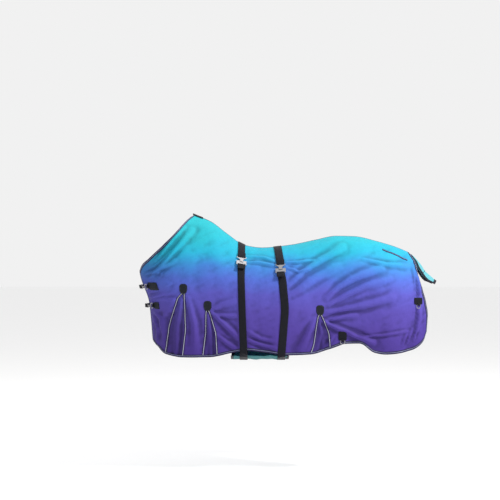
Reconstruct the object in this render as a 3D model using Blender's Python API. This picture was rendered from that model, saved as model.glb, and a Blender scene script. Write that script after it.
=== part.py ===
"""Fly sheet for a horse: two mesh side panels joined along the back, with gussets, taped
edges, surcingles that hook to a belly band, chest straps and a tail flap.

Metres. +X runs toward the tail, +Y toward the off (right) side, +Z up. The origin is on the
inner face of the sheet at the low point of the back.
"""
import math

import bmesh
import bpy
import numpy as np
from mathutils import Vector

# Overall sizes
SHEET_LENGTH = 1.75  # front of the chest to the tail head
SHEET_DROP = 0.69  # low point of the back to the hem
BODY_WIDTH = 0.58  # widest, at the barrel

# Cloth, tape and webbing
CLOTH = 0.002
BINDING_WIDTH = 0.018
BINDING = 0.003
SPINE_TAPE_WIDTH = 0.016
WEBBING_WIDTH = 0.050
WEBBING = 0.002
PATCH = 0.0015
GUSSET_PATCH_WIDTH = 0.050
GUSSET_PATCH_HEIGHT = 0.070
CHEST_STRAP_WIDTH = 0.025
FRONT_GAP = 0.006  # between the two front edges
CLEARANCE = 0.0003
HEM_EASE = 0.002  # between a gusset's foot and the hem tape
TAPE_EASE = 0.004  # between the cloth's edge and the tape that binds it
SEAM_EASE = 0.0012  # between a gusset and the panel on each side
LIFT_PATCH = 0.0036  # inner face of a patch above the inner face of the cloth
LIFT_STRAP = 0.0048  # inner face of a strap above the inner face of the cloth

# Hardware
PLATE = 0.0025
HOOK_WIDTH = WEBBING_WIDTH + 0.010
HOOK_HEIGHT = 0.040
NECK_WIDTH = 0.020
TONGUE = 0.007
CLIP_WIDTH = WEBBING_WIDTH + 0.014
CLIP_HEIGHT = 0.031
SLOT_HEIGHT = 0.006
RIM = 0.004  # metal left around a slot
RING_WIRE = 0.005
CHEST_RING_RADIUS = 0.017
D_RING_RADIUS = 0.015
SNAP_LENGTH = 0.046
SNAP_WIRE = 0.0022  # radius of the snap's hook and shank

# Tail flap and belly band
FLAP_LENGTH = 0.245
FLAP_WIDTH = 0.190
BAND_LENGTH = 0.37
BAND_SAG = 0.0456  # how far its middle hangs below its ends
BAND_CENTRE_X = -0.015

# Outlines, side view, as (x, z) for the drawn sizes below
DRAWN_LENGTH, DRAWN_DROP, DRAWN_WIDTH = 1.75, 0.69, 0.58
LONG, TALL, WIDE = SHEET_LENGTH / DRAWN_LENGTH, SHEET_DROP / DRAWN_DROP, BODY_WIDTH / DRAWN_WIDTH
BACK_LINE = ((-0.95, 0.44), (-0.728, 0.3575), (-0.585, 0.3055), (-0.475, 0.232), (-0.439, 0.2145),
             (-0.333, 0.170), (-0.220, 0.086), (-0.1105, 0.016), (0.0, 0.0), (0.182, 0.0175),
             (0.348, 0.051), (0.481, 0.076), (0.5915, 0.074), (0.7475, 0.041), (0.9555, -0.0325),
             (1.0, -0.07), (1.06, -0.16), (1.12, -0.28))
CHEST_LINE = ((-0.72, -0.690), (-0.60, -0.705), (-0.4485, -0.7176), (-0.341, -0.7306),
              (-0.212, -0.777), (-0.152, -0.794), (-0.05, -0.835), (0.0676, -0.936), (0.3, -1.05))
WIDTH_LINE = ((-0.95, 0.10), (-0.80, 0.14), (-0.65, 0.19), (-0.5, 0.225), (-0.3, 0.25), (0.0, 0.285),
              (0.2, 0.29), (0.42, 0.268), (0.6, 0.27), (0.75, 0.268), (0.87, 0.245), (0.96, 0.21),
              (1.05, 0.168), (1.15, 0.13))
DEPTH_LINE = ((-0.9, 0.30), (-0.44, 0.42), (-0.15, 0.36), (0.2, 0.32), (0.9, 0.32), (1.1, 0.28))
SHARP_LINE = ((-0.9, 1.6), (-0.44, 1.35), (-0.15, 1.8), (0.1, 2.1), (0.5, 2.0), (1.1, 1.9))
CHEST_ROUND = 0.20
HEM_TAPER = 0.08
NECK_EDGE = ((-0.794, -0.152), (-0.770, -0.106), (-0.724, -0.066), (-0.658, -0.0065),
             (-0.5655, 0.0865), (-0.4654, 0.196), (-0.439, 0.2145))
HEM_LINE = ((-0.705, -0.602), (-0.663, -0.640), (-0.611, -0.678), (-0.5135, -0.6955),
            (-0.338, -0.693), (-0.195, -0.665), (-0.091, -0.648), (0.026, -0.662), (0.1625, -0.678),
            (0.308, -0.672), (0.428, -0.639), (0.5395, -0.606), (0.613, -0.605), (0.712, -0.664),
            (0.779, -0.675), (0.952, -0.650), (1.022, -0.596), (1.048, -0.533))
REAR_EDGE = ((0.9555, -0.0325), (0.988, -0.1086), (1.004, -0.181), (1.024, -0.254),
             (1.0446, -0.347), (1.054, -0.413), (1.048, -0.533))
NECK_SHARE = 0.18  # of the panel's columns that start on the neck edge

# Gussets: foot of the patch, then the two seams down to the hem
GUSSETS = {
    "front": ((-0.5005, -0.263), ((-0.532, -0.302), (-0.595, -0.504), (-0.620, -0.72)),
              ((-0.496, -0.302), (-0.486, -0.517), (-0.512, -0.72))),
    "girth": ((-0.346, -0.3705), ((-0.356, -0.402), (-0.3595, -0.543), (-0.382, -0.72)),
              ((-0.336, -0.402), (-0.293, -0.543), (-0.284, -0.72))),
    "flank": ((0.364, -0.3965), ((0.352, -0.430), (0.325, -0.612), (0.285, -0.72)),
              ((0.376, -0.430), (0.421, -0.5395), (0.436, -0.72))),
}
SURCINGLES = {
    "front": ((0.0, -0.133), (0.20, -0.134), (0.40, -0.128), (0.70, -0.117)),
    "rear": ((0.0, 0.100), (0.16, 0.122), (0.40, 0.143), (0.70, 0.119)),
}
CLIP_DROP = {"front": 0.090, "rear": 0.118}  # from the back down to the hook's bar
CHEST_LEVELS = {"upper": (-0.245, 0.052, 0.092), "lower": (-0.369, 0.044, 0.056)}
LEG_PATCHES = {"front": (0.507, -0.558, 0.052, 0.060), "rear": (0.990, -0.340, 0.060, 0.046)}

NEAR, OFF = -1, 1
SIDES = {"left": NEAR, "right": OFF}
TEAL, BLUE, PURPLE = (0.05, 0.46, 0.58), (0.08, 0.26, 0.66), (0.10, 0.07, 0.33)
BLACK, NICKEL = (0.012, 0.013, 0.018), (0.72, 0.71, 0.69)


def clear_scene():
    for item in list(bpy.data.objects):
        bpy.data.objects.remove(item, do_unlink=True)


def material(name, colour, roughness, metallic=0.0):
    made = bpy.data.materials.get(name) or bpy.data.materials.new(name)
    made.use_nodes = True
    shader = made.node_tree.nodes["Principled BSDF"]
    shader.inputs["Base Color"].default_value = (*colour, 1.0)
    shader.inputs["Roughness"].default_value = roughness
    shader.inputs["Metallic"].default_value = metallic
    return made


def smooth_curve(points):
    """A smooth function through (position, value) points that never overshoots them."""
    at, value = (np.array(column, float) for column in zip(*points))
    step, rise = np.diff(at), np.diff(value)
    slope = rise / step
    tangent = np.zeros(len(at))
    tangent[0], tangent[-1] = slope[0], slope[-1]
    for i in range(1, len(at) - 1):
        if slope[i - 1] * slope[i] > 0:
            tangent[i] = 2 * slope[i - 1] * slope[i] / (slope[i - 1] + slope[i])

    def value_at(x):
        x = np.clip(np.asarray(x, float), at[0], at[-1])
        i = np.clip(np.searchsorted(at, x, side="right") - 1, 0, len(step) - 1)
        t = (x - at[i]) / step[i]
        return (value[i] * (1 + 2 * t) * (1 - t) ** 2 + value[i + 1] * t * t * (3 - 2 * t)
                + step[i] * (tangent[i] * t * (1 - t) ** 2 - tangent[i + 1] * t * t * (1 - t)))

    return value_at


def smooth_path(points):
    """A function from 0..1 to a point along a smooth path through (x, z) points."""
    points = np.array(points, float)
    along = np.concatenate([[0], np.cumsum(np.linalg.norm(np.diff(points, axis=0), axis=1))])
    along /= along[-1]
    xs, zs = (smooth_curve(list(zip(along, points[:, i]))) for i in (0, 1))
    return lambda t: np.stack([xs(t), zs(t)], axis=-1)


back_z = smooth_curve(BACK_LINE)
chest_x = smooth_curve(CHEST_LINE)
widest = smooth_curve(WIDTH_LINE)
round_depth = smooth_curve(DEPTH_LINE)
sharpness = smooth_curve(SHARP_LINE)
neck_edge, hem_edge, rear_edge = smooth_path(NECK_EDGE), smooth_path(HEM_LINE), smooth_path(REAR_EDGE)


def half_width(x, z):
    """Distance of the sheet's inner face from the centre plane, in drawn sizes."""
    below = np.maximum(back_z(x) - z, 0.0)
    depth = round_depth(x)
    a = np.clip(below / depth, 0.0, 1.0)
    b = np.clip((x - chest_x(z)) / CHEST_ROUND, 0.0, 1.0)
    taper = 1 - HEM_TAPER * np.clip((below - depth) / depth, 0.0, 1.0) ** 1.5
    over_back = (1 - (1 - a) ** 2) ** (1 / sharpness(x))
    return widest(x) * over_back * np.sqrt(1 - (1 - b) ** 2) * taper


def outward(x, z, side):
    """Unit normals of the drawn surface, pointing out of the horse."""
    small = 1e-4
    z = np.minimum(z, back_z(x) - 2 * small)
    x = np.maximum(x, chest_x(z) + 2 * small)
    by_x = (half_width(x + small, z) - half_width(x - small, z)) / (2 * small)
    by_z = (half_width(x, z + small) - half_width(x, z - small)) / (2 * small)
    normal = np.stack([-by_x / LONG, np.full_like(by_x, side / WIDE), -by_z / TALL], axis=-1)
    return normal / np.linalg.norm(normal, axis=-1, keepdims=True)


def on_sheet(x, z, side, lift=0.0):
    """World points on the side, at drawn (x, z), lifted off the inner face."""
    x, z = np.broadcast_arrays(np.asarray(x, float), np.asarray(z, float))
    z = np.minimum(z, back_z(x))
    points = np.stack([x * LONG, side * half_width(x, z) * WIDE, z * TALL], axis=-1)
    return points + outward(x, z, side) * np.asarray(lift)[..., None]


def top_edge(u):
    on_neck = neck_edge(np.clip(u / NECK_SHARE, 0, 1))
    start, end = NECK_EDGE[-1][0], BACK_LINE[14][0]
    x = start + (end - start) * np.clip((u - NECK_SHARE) / (1 - NECK_SHARE), 0, 1)
    return np.where((u < NECK_SHARE)[..., None], on_neck, np.stack([x, back_z(x)], axis=-1))


def front_edge(v):
    top, foot = NECK_EDGE[0][1], HEM_LINE[0][1]
    z = top + (foot - top) * v
    return np.stack([chest_x(z), z], axis=-1)


def side_view(u, v):
    """Drawn (x, z) of the side panel at shares u (front to rear) and v (top to hem)."""
    u, v = np.broadcast_arrays(np.asarray(u, float), np.asarray(v, float))
    s, t = u[..., None], v[..., None]
    edges = ((1 - t) * top_edge(u) + t * hem_edge(u) + (1 - s) * front_edge(v) + s * rear_edge(v))
    corners = ((1 - s) * (1 - t) * np.array(NECK_EDGE[0]) + s * (1 - t) * np.array(REAR_EDGE[0])
               + (1 - s) * t * np.array(HEM_LINE[0]) + s * t * np.array(HEM_LINE[-1]))
    return edges - corners


def panel_points(u, v, side, lift=0.0):
    flat = side_view(u, v)
    return on_sheet(flat[..., 0], flat[..., 1], side, lift)


FINE = np.linspace(0, 1, 400) ** 2  # closer together toward the edge it starts from


def share_inside(distance, across, edge):
    """The share at which each line across the panel is this far, along the cloth, from an edge."""
    found = []
    for other in np.atleast_1d(across):
        fine = FINE if edge in ("top", "front") else 1 - FINE
        u, v = (np.full_like(fine, other), fine) if edge in ("top", "hem") else (fine, np.full_like(fine, other))
        points = panel_points(u, v, OFF)
        along = np.concatenate([[0], np.cumsum(np.linalg.norm(np.diff(points, axis=0), axis=1))])
        found.append(np.interp(distance, along, fine))
    return np.array(found)


def add_object(name, shape, look, origin=(0, 0, 0)):
    """An object from a bmesh in world coordinates, with its origin at the given place."""
    bmesh.ops.remove_doubles(shape, verts=shape.verts, dist=1e-6)
    bmesh.ops.recalc_face_normals(shape, faces=shape.faces)
    bmesh.ops.translate(shape, verts=shape.verts, vec=-Vector(origin))
    mesh = bpy.data.meshes.new(name)
    shape.to_mesh(mesh)
    shape.free()
    mesh.shade_smooth()
    mesh.set_sharp_from_angle(angle=math.radians(40))
    made = bpy.data.objects.new(name, mesh)
    made.location = origin
    bpy.context.scene.collection.objects.link(made)
    mesh.materials.append(look)
    return made


def slab(inner, outer):
    """A closed solid between two matching grids of points."""
    shape = bmesh.new()
    rows, columns = inner.shape[:2]
    layers = [[[shape.verts.new(p) for p in row] for row in grid] for grid in (inner, outer)]
    for layer in layers:
        for i in range(rows - 1):
            for j in range(columns - 1):
                shape.faces.new((layer[i][j], layer[i + 1][j], layer[i + 1][j + 1], layer[i][j + 1]))
    rim = ([(i, 0) for i in range(rows)] + [(rows - 1, j) for j in range(1, columns)]
           + [(i, columns - 1) for i in range(rows - 2, -1, -1)] + [(0, j) for j in range(columns - 2, 0, -1)])
    for (i, j), (k, m) in zip(rim, rim[1:] + rim[:1]):
        shape.faces.new((layers[0][i][j], layers[0][k][m], layers[1][k][m], layers[1][i][j]))
    return shape


def cloth_slab(x, z, side, lift, thickness):
    return slab(on_sheet(x, z, side, lift), on_sheet(x, z, side, lift + thickness))


COLUMNS = np.array([0, .004, .013, .03, .055, .09, .135, .18, *np.linspace(.215, 1, 40)])
ROWS = np.array([0, .004, .016, .04, .075, .12, .18, .25, .33, .42, .52, .62, .72, .81, .90, 1])


def panel_shares():
    """The (u, v) grid of a side panel, which starts inside its bindings."""
    inset = BINDING_WIDTH + TAPE_EASE
    top = np.where(COLUMNS < NECK_SHARE + 0.005, inset, SPINE_TAPE_WIDTH / 2 + TAPE_EASE)
    v_top = np.array([share_inside(top[i], [u], "top")[0] for i, u in enumerate(COLUMNS)])
    v_hem = share_inside(inset, COLUMNS, "hem")
    u_front = share_inside(inset + FRONT_GAP / 2, ROWS, "front")
    u_rear = share_inside(inset, ROWS, "rear")
    u = u_front[:, None] + (u_rear - u_front)[:, None] * COLUMNS[None, :]
    v = v_top[None, :] + (v_hem - v_top)[None, :] * ROWS[:, None]
    return u, v


def prism(name, outline, side):
    """A cutter through one side, along Y, from a closed (x, z) outline."""
    shape = bmesh.new()
    ends = [[shape.verts.new((x * LONG, y * side, z * TALL)) for x, z in outline] for y in (0.02, 0.5)]
    shape.faces.new(ends[0])
    shape.faces.new(reversed(ends[1]))
    for i in range(len(outline)):
        k = (i + 1) % len(outline)
        shape.faces.new((ends[0][i], ends[1][i], ends[1][k], ends[0][k]))
    cutter = add_object(name, shape, material("cutter", BLACK, 0.5))
    cutter.hide_render = True
    cutter.display_type = "WIRE"
    return cutter


def seam_x(seam, z):
    return np.interp(-np.asarray(z), [-p[1] for p in seam], [p[0] for p in seam])


def build_panels(hem_inner):
    u, v = panel_shares()
    flat = side_view(u, v)
    look = material("mesh cloth", BLUE, 0.8)
    for name, side in SIDES.items():
        shape = cloth_slab(flat[..., 0], flat[..., 1], side, 0.0, CLOTH)
        panel = add_object(f"{name}_side_panel", shape, look)
        for where, (_, front, rear) in GUSSETS.items():
            cutter = prism(f"{name}_{where}_gusset_cut", [*front, *rear[::-1]], side)
            cut = panel.modifiers.new(f"{where} gusset", "BOOLEAN")
            cut.operation = "DIFFERENCE"
            cut.solver = "EXACT"
            cut.object = cutter
            build_gusset(f"{name}_{where}", front, rear, side, hem_inner)


def build_gusset(name, front, rear, side, hem_inner):
    gap = SEAM_EASE
    t = np.linspace(0, 1, 10)[:, None]
    s = np.linspace(0, 1, 4)[None, :]
    top = front[0][1] - gap
    foot = np.full_like(s, HEM_LINE[3][1])
    for _ in range(4):
        foot_x = seam_x(front, foot) + (seam_x(rear, foot) - seam_x(front, foot)) * s
        foot = hem_inner(foot_x) + HEM_EASE
    z = top + (foot - top) * t
    left, right = seam_x(front, z) + gap, seam_x(rear, z) - gap
    x = left + (right - left) * s
    add_object(f"{name}_gusset", cloth_slab(x, z, side, 0.0, CLOTH), material("gusset cloth", PURPLE, 0.8))


def build_bindings():
    tape = material("edge tape", BLACK, 0.7)
    on_neck = COLUMNS[COLUMNS < NECK_SHARE + 0.005]
    half = SPINE_TAPE_WIDTH / 2
    for name, side in SIDES.items():
        inner = share_inside(BINDING_WIDTH, on_neck, "top")
        front = share_inside(FRONT_GAP / 2, [0.0], "front")[0]
        u = np.maximum(on_neck, front)
        u[-1] -= share_inside(half + CLEARANCE, [0.0], "front")[0]
        rows = np.stack([inner * k for k in (0.0, 0.5, 1.0)])
        flat = side_view(np.broadcast_to(u, rows.shape), rows)
        keep = on_sheet(flat[..., 0], flat[..., 1], side, 0.0)
        keep[..., 1] = side * np.maximum(np.abs(keep[..., 1]), half + CLEARANCE)
        top = on_sheet(flat[..., 0], flat[..., 1], side, BINDING)
        top[..., 1] = side * np.maximum(np.abs(top[..., 1]), half + CLEARANCE)
        add_object(f"{name}_neck_binding", slab(keep, top), tape)
        build_hem_binding(name, side, tape)
    x = np.linspace(NECK_EDGE[-1][0] - 0.004, REAR_EDGE[0][0], 34)
    across = np.linspace(-half, half, 5)
    drop = [[drop_for_width(place, abs(y)) for place in x] for y in across]
    shares = np.array(drop).T
    z = back_z(x)[:, None] - shares
    grid = np.stack([np.broadcast_to(x[:, None] * LONG, z.shape),
                     np.broadcast_to(across * 1.0, z.shape), z * TALL], axis=-1)
    up = np.array([0.0, 0.0, BINDING])
    add_object("spine_binding", slab(grid, grid + up), tape)


def drop_for_width(x, y):
    """How far below the back line the sheet is this far from the centre plane."""
    drops = np.linspace(0, 1, 200) ** 2 * 0.05
    widths = half_width(np.full_like(drops, x), back_z(x) - drops) * WIDE
    return float(np.interp(y, widths, drops))


def build_hem_binding(name, side, tape):
    """One tape down the front edge, along the hem and up the rear edge."""
    start = share_inside(BINDING_WIDTH + TAPE_EASE, [0.0], "top")[0]
    down = np.linspace(start, 1, 9)
    gap = share_inside(FRONT_GAP / 2, [0.5], "front")[0]
    inner_front = share_inside(BINDING_WIDTH + FRONT_GAP / 2, down, "front")
    u_start = share_inside(BINDING_WIDTH + FRONT_GAP / 2, [1.0], "front")[0]
    u_end = share_inside(BINDING_WIDTH, [1.0], "rear")[0]
    along = np.linspace(u_start, u_end, 60)
    v_hem = share_inside(BINDING_WIDTH, along, "hem")
    up = np.linspace(1, 0.012, 12)
    inner_rear = share_inside(BINDING_WIDTH, up, "rear")
    outer = ([(gap, v) for v in down[:-1]] + [(gap, 1.0)] + [(u, 1.0) for u in along[1:-1]]
             + [(1.0, 1.0)] + [(1.0, v) for v in up[1:]])
    inner = ([(u, v) for u, v in zip(inner_front[:-1], down[:-1])] + list(zip(along, v_hem))
             + [(u, v) for u, v in zip(inner_rear[1:], up[1:])])
    u = np.array([[a[0], b[0]] for a, b in zip(outer, inner)])
    v = np.array([[a[1], b[1]] for a, b in zip(outer, inner)])
    flat = side_view(u, v)
    shape = cloth_slab(flat[..., 0], flat[..., 1], side, 0.0, BINDING)
    add_object(f"{name}_hem_binding", shape, tape)


def inner_hem_height():
    u = np.linspace(0.02, 0.98, 120)
    flat = side_view(u, share_inside(BINDING_WIDTH + CLEARANCE, u, "hem"))
    return lambda x: np.interp(x, flat[:, 0], flat[:, 1])


def build_gusset_patches():
    look = material("patch cloth", BLACK, 0.75)
    half, tall = GUSSET_PATCH_WIDTH / 2, GUSSET_PATCH_HEIGHT
    for name, side in SIDES.items():
        for where, ((x, z), _, _) in GUSSETS.items():
            rise = np.array([-0.5, -0.2, 0.12, 0.5])[:, None] * tall
            reach = np.array([1, 1, 1, 0.12])[:, None] * half
            s = np.array([-1, -0.33, 0.33, 1])[None, :]
            shape = cloth_slab(x + reach * s, z + rise + 0 * s, side, LIFT_PATCH, PATCH)
            add_object(f"{name}_{where}_gusset_patch", shape, look)


def build_wither_patch():
    """A small reinforcement astride the wither, over the ends of the bindings."""
    x = np.linspace(-0.445, -0.385, 5)
    across = np.linspace(-0.022, 0.022, 7)
    drop = np.array([[drop_for_width(place, abs(y)) for y in across] for place in x])
    z = back_z(x)[:, None] - drop
    grid = np.stack([np.broadcast_to(x[:, None] * LONG, z.shape),
                     np.broadcast_to(across, z.shape), z * TALL], axis=-1)
    low, high = np.array([0, 0, 0.0062]), np.array([0, 0, 0.0082])
    add_object("wither_patch", slab(grid + low, grid + high), material("patch cloth", BLACK, 0.75))


def build_rump_darts():
    path = smooth_path(((0.770, -0.010), (0.845, -0.042), (0.930, -0.078)))
    t = np.linspace(0, 1, 8)
    centre = path(t)
    for name, side in SIDES.items():
        x = centre[:, 0][:, None] + np.zeros(2)
        z = centre[:, 1][:, None] + np.array([0.004, -0.004])
        shape = cloth_slab(x, z, side, LIFT_PATCH, PATCH)
        add_object(f"{name}_rump_dart_tape", shape, material("edge tape", BLACK, 0.7))


def ribbon(centre, half, thickness):
    """A strip of webbing along centre points, with the given half-width vectors."""
    centre, half = np.array(centre), np.array(half)
    along = np.gradient(centre, axis=0)
    up = np.cross(along, half)
    up /= np.linalg.norm(up, axis=1, keepdims=True)
    edges = np.stack([centre - half, centre + half], axis=1)
    shift = up[:, None, :] * thickness / 2
    return slab(edges - shift, edges + shift)


def frame_at(x, z, side, lift):
    """(origin, across, down, out) where a strap runs down the side of the sheet."""
    step = 0.002
    origin = on_sheet(x, z, side, lift)
    down = on_sheet(x, z - step, side, lift) - on_sheet(x, z + step, side, lift)
    down /= np.linalg.norm(down)
    out = outward(np.array(x), np.array(z), side)
    out = out - down * (out @ down)
    out /= np.linalg.norm(out)
    across = np.cross(down, out) * -side
    return origin, across, down, out


def chest_point(along, z, lift):
    """The point this far round the chest from its centre front, negative on the near side."""
    side = OFF if along >= 0 else NEAR
    x = chest_x(z) + np.linspace(0, 1, 300) ** 2 * 0.3
    line = on_sheet(x, np.full_like(x, z), side, lift)
    reach = np.concatenate([[0], np.cumsum(np.linalg.norm(np.diff(line, axis=0), axis=1))])
    return np.array([np.interp(abs(along), reach, line[:, i]) for i in range(3)])


def unit(vector):
    return vector / np.linalg.norm(vector)


def chest_frame(along, z, lift):
    """(origin, up, forward, out) round the chest, where forward points to the off side."""
    forward = unit(chest_point(along + 0.003, z, lift) - chest_point(along - 0.003, z, lift))
    up = chest_point(along, z + 0.015, lift) - chest_point(along, z - 0.015, lift)
    up = unit(up - forward * (up @ forward))
    out = np.cross(up, forward)
    return chest_point(along, z, lift), up, forward, out * (1 if out[0] < 0 else -1)


def around_bar(origin, along, out, radius, back):
    """Centre points of webbing that turns round a bar and lies back over itself."""
    centre = origin + out * radius
    turn = [centre + radius * (math.sin(a) * along - math.cos(a) * out)
            for a in np.linspace(0, math.pi, 9)]
    return turn + [centre + out * radius - along * back]


def box_shape(frame, low, high, shape=None):
    """A box between two corners given along (across, down, out) from the frame's origin."""
    shape = shape or bmesh.new()
    origin, across, down, out = frame
    corners = [origin + across * a + down * b + out * c
               for a in (low[0], high[0]) for b in (low[1], high[1]) for c in (low[2], high[2])]
    verts = [shape.verts.new(p) for p in corners]
    for face in ((0, 1, 3, 2), (4, 6, 7, 5), (0, 4, 5, 1), (2, 3, 7, 6), (0, 2, 6, 4), (1, 5, 7, 3)):
        shape.faces.new([verts[i] for i in face])
    return shape


def tube_shape(points, radius, closed, sides=8):
    """A bent wire of the given radius through points that lie in one plane."""
    shape = bmesh.new()
    points = np.array(points)
    normal = np.cross(points[1] - points[0], points[2] - points[1])
    if np.linalg.norm(normal) < 1e-12:
        normal = np.cross(points[1] - points[0], points[-1] - points[len(points) // 2])
    normal /= np.linalg.norm(normal)
    rings = []
    count = len(points)
    for i, point in enumerate(points):
        before = points[i - 1] if closed or i else point
        after = points[(i + 1) % count] if closed or i < count - 1 else point
        along = (after - before) / np.linalg.norm(after - before)
        side = np.cross(along, normal)
        rings.append([shape.verts.new(point + radius * (math.cos(t) * side + math.sin(t) * normal))
                      for t in np.linspace(0, 2 * math.pi, sides, endpoint=False) + math.pi / sides])
    for i in range(count if closed else count - 1):
        a, b = rings[i], rings[(i + 1) % count]
        for k in range(sides):
            shape.faces.new((a[k], a[(k + 1) % sides], b[(k + 1) % sides], b[k]))
    if not closed:
        shape.faces.new(rings[0])
        shape.faces.new(reversed(rings[-1]))
    return shape


def cut_box(target, name, frame, low, high):
    cutter = add_object(name, box_shape(frame, low, high), material("cutter", BLACK, 0.5))
    cutter.hide_render = True
    cutter.display_type = "WIRE"
    cut = target.modifiers.new(name, "BOOLEAN")
    cut.operation = "DIFFERENCE"
    cut.solver = "EXACT"
    cut.object = cutter


# A webbing loop's middle runs this far from the middle of the bar it turns round
BAR_TURN = PLATE / 2 * math.sqrt(2) + CLEARANCE + WEBBING / 2
CLIP_BAR = HOOK_HEIGHT - 0.003 + CLIP_HEIGHT - RIM - PLATE / 2  # below the hook's bar
LOOP_BACK = 0.034
HOOK_LIFT = LIFT_STRAP + 0.0042  # middle of the webbing where it reaches the hook


def strap_x(where, below):
    return float(np.interp(below, *zip(*SURCINGLES[where])))


def strap_station(where, below, side, lift):
    """Centre and half-width of a surcingle this far below the back line."""
    x = strap_x(where, below)
    h = WEBBING_WIDTH / 2 / LONG
    ends = [on_sheet(x + k, back_z(x + k) - below, side, lift) for k in (-h, h)]
    half = ends[1] - ends[0]
    return (ends[0] + ends[1]) / 2, half / np.linalg.norm(half) * WEBBING_WIDTH / 2


def clip_frame(where):
    below = CLIP_DROP[where] / TALL
    x = strap_x(where, below)
    return frame_at(x, float(back_z(x)) - below, NEAR, HOOK_LIFT)


def build_surcingles():
    look = material("webbing", BLACK, 0.8)
    for where in SURCINGLES:
        origin, across, down, out = clip_frame(where)
        mid = LIFT_STRAP + WEBBING / 2
        centre = around_bar(origin, down, out, BAR_TURN, LOOP_BACK)[::-1]
        half = [-across * WEBBING_WIDTH / 2] * len(centre)
        start = CLIP_DROP[where] / TALL - 0.030
        drops = start * np.linspace(1, 0.0, 9) ** 2
        for k, below in enumerate(drops[:-1]):
            extra = (HOOK_LIFT - mid) * max(0.0, 1 - k / 2)
            point, reach = strap_station(where, below, NEAR, mid + extra)
            centre.append(point)
            half.append(reach)
        foot = float(back_z(strap_x(where, 0.65))) + 0.655
        for below in foot * np.linspace(0, 1, 28) ** 2:
            point, reach = strap_station(where, below, OFF, mid)
            centre.append(point)
            half.append(reach)
        add_object(f"{where}_surcingle", ribbon(centre, half, WEBBING), look)


def build_hook(where):
    """The male half: a plate with a webbing slot, a neck and a tongue bent inward."""
    origin, across, down, out = clip_frame(where)
    axis = origin + out * BAR_TURN
    frame = (axis, across, down, out)
    t = PLATE / 2
    shoulder = t + SLOT_HEIGHT + RIM
    outline = [(-HOOK_WIDTH / 2, -t), (HOOK_WIDTH / 2, -t), (HOOK_WIDTH / 2, shoulder * 0.8),
               (NECK_WIDTH / 2 + 0.006, shoulder + 0.006), (NECK_WIDTH / 2, shoulder + 0.014),
               (NECK_WIDTH / 2, HOOK_HEIGHT), (-NECK_WIDTH / 2, HOOK_HEIGHT),
               (-NECK_WIDTH / 2, shoulder + 0.014), (-NECK_WIDTH / 2 - 0.006, shoulder + 0.006),
               (-HOOK_WIDTH / 2, shoulder * 0.8)]
    shape = bmesh.new()
    layers = [[shape.verts.new(axis + across * a + down * b + out * c) for a, b in outline] for c in (-t, t)]
    shape.faces.new(layers[0])
    shape.faces.new(reversed(layers[1]))
    for i in range(len(outline)):
        k = (i + 1) % len(outline)
        shape.faces.new((layers[0][i], layers[1][i], layers[1][k], layers[0][k]))
    hook = add_object(f"{where}_hook", shape, material("nickel", NICKEL, 0.3, 1.0), axis)
    cut_box(hook, f"{where}_hook_slot", frame, (-WEBBING_WIDTH / 2 - 0.001, t, -0.01),
            (WEBBING_WIDTH / 2 + 0.001, t + SLOT_HEIGHT, 0.01))
    tongue = add_object(f"{where}_hook_tongue", box_shape(
        frame, (-NECK_WIDTH / 2 + 0.002, HOOK_HEIGHT - PLATE - 0.0005, -t - TONGUE),
        (NECK_WIDTH / 2 - 0.002, HOOK_HEIGHT - 0.0005, 0.0)), material("cutter", BLACK, 0.5))
    tongue.hide_render = True
    tongue.display_type = "WIRE"
    join = hook.modifiers.new("tongue", "BOOLEAN")
    join.operation = "UNION"
    join.solver = "EXACT"
    join.object = tongue


def build_clip_plate(where):
    """The slotted female half, under the hook's neck."""
    origin, across, down, out = clip_frame(where)
    centre = origin + out * (BAR_TURN - PLATE - CLEARANCE)
    frame = (centre, across, down, out)
    top = HOOK_HEIGHT - 0.003 - PLATE - RIM
    low, high = (-CLIP_WIDTH / 2, top, -PLATE / 2), (CLIP_WIDTH / 2, CLIP_BAR + PLATE / 2, PLATE / 2)
    plate = add_object(f"{where}_clip_plate", box_shape(frame, low, high), material("nickel", NICKEL, 0.3, 1.0))
    cut_box(plate, f"{where}_tongue_slot", frame, (-NECK_WIDTH / 2 - 0.002, top + RIM - 0.0005, -0.01),
            (NECK_WIDTH / 2 + 0.002, top + RIM + PLATE + 0.005, 0.01))
    cut_box(plate, f"{where}_web_slot", frame,
            (-WEBBING_WIDTH / 2 - 0.001, CLIP_BAR - PLATE / 2 - SLOT_HEIGHT, -0.01),
            (WEBBING_WIDTH / 2 + 0.001, CLIP_BAR - PLATE / 2, 0.01))


BAND_Z = -0.672  # height of the belly band's ends
BAND_TILT = 0.012
BAND_INSET = 0.018  # from the inner face of the sheet
BAND_FOOT_X = (BAND_CENTRE_X + np.linspace(-0.5, 0.5, 9) * BAND_LENGTH) / LONG
BAND_REACH = float(half_width(BAND_FOOT_X, np.full(9, -0.66)).min()) * WIDE - BAND_INSET


def band_z(y):
    share = np.asarray(y) / BAND_REACH
    return BAND_Z * TALL + BAND_TILT * share - BAND_SAG * (1 - share**2)


def band_slab(x, y, low, thickness):
    x, y = np.broadcast_arrays(x, y)
    slope = -(band_z(y + 1e-4) - band_z(y - 1e-4)) / 2e-4
    normal = np.stack([0 * slope, slope, np.ones_like(slope)], axis=-1)
    normal /= np.linalg.norm(normal, axis=-1, keepdims=True)
    base = np.stack([x, y, band_z(y)], axis=-1)
    return slab(base + normal * low, base + normal * (low + thickness))


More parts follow.
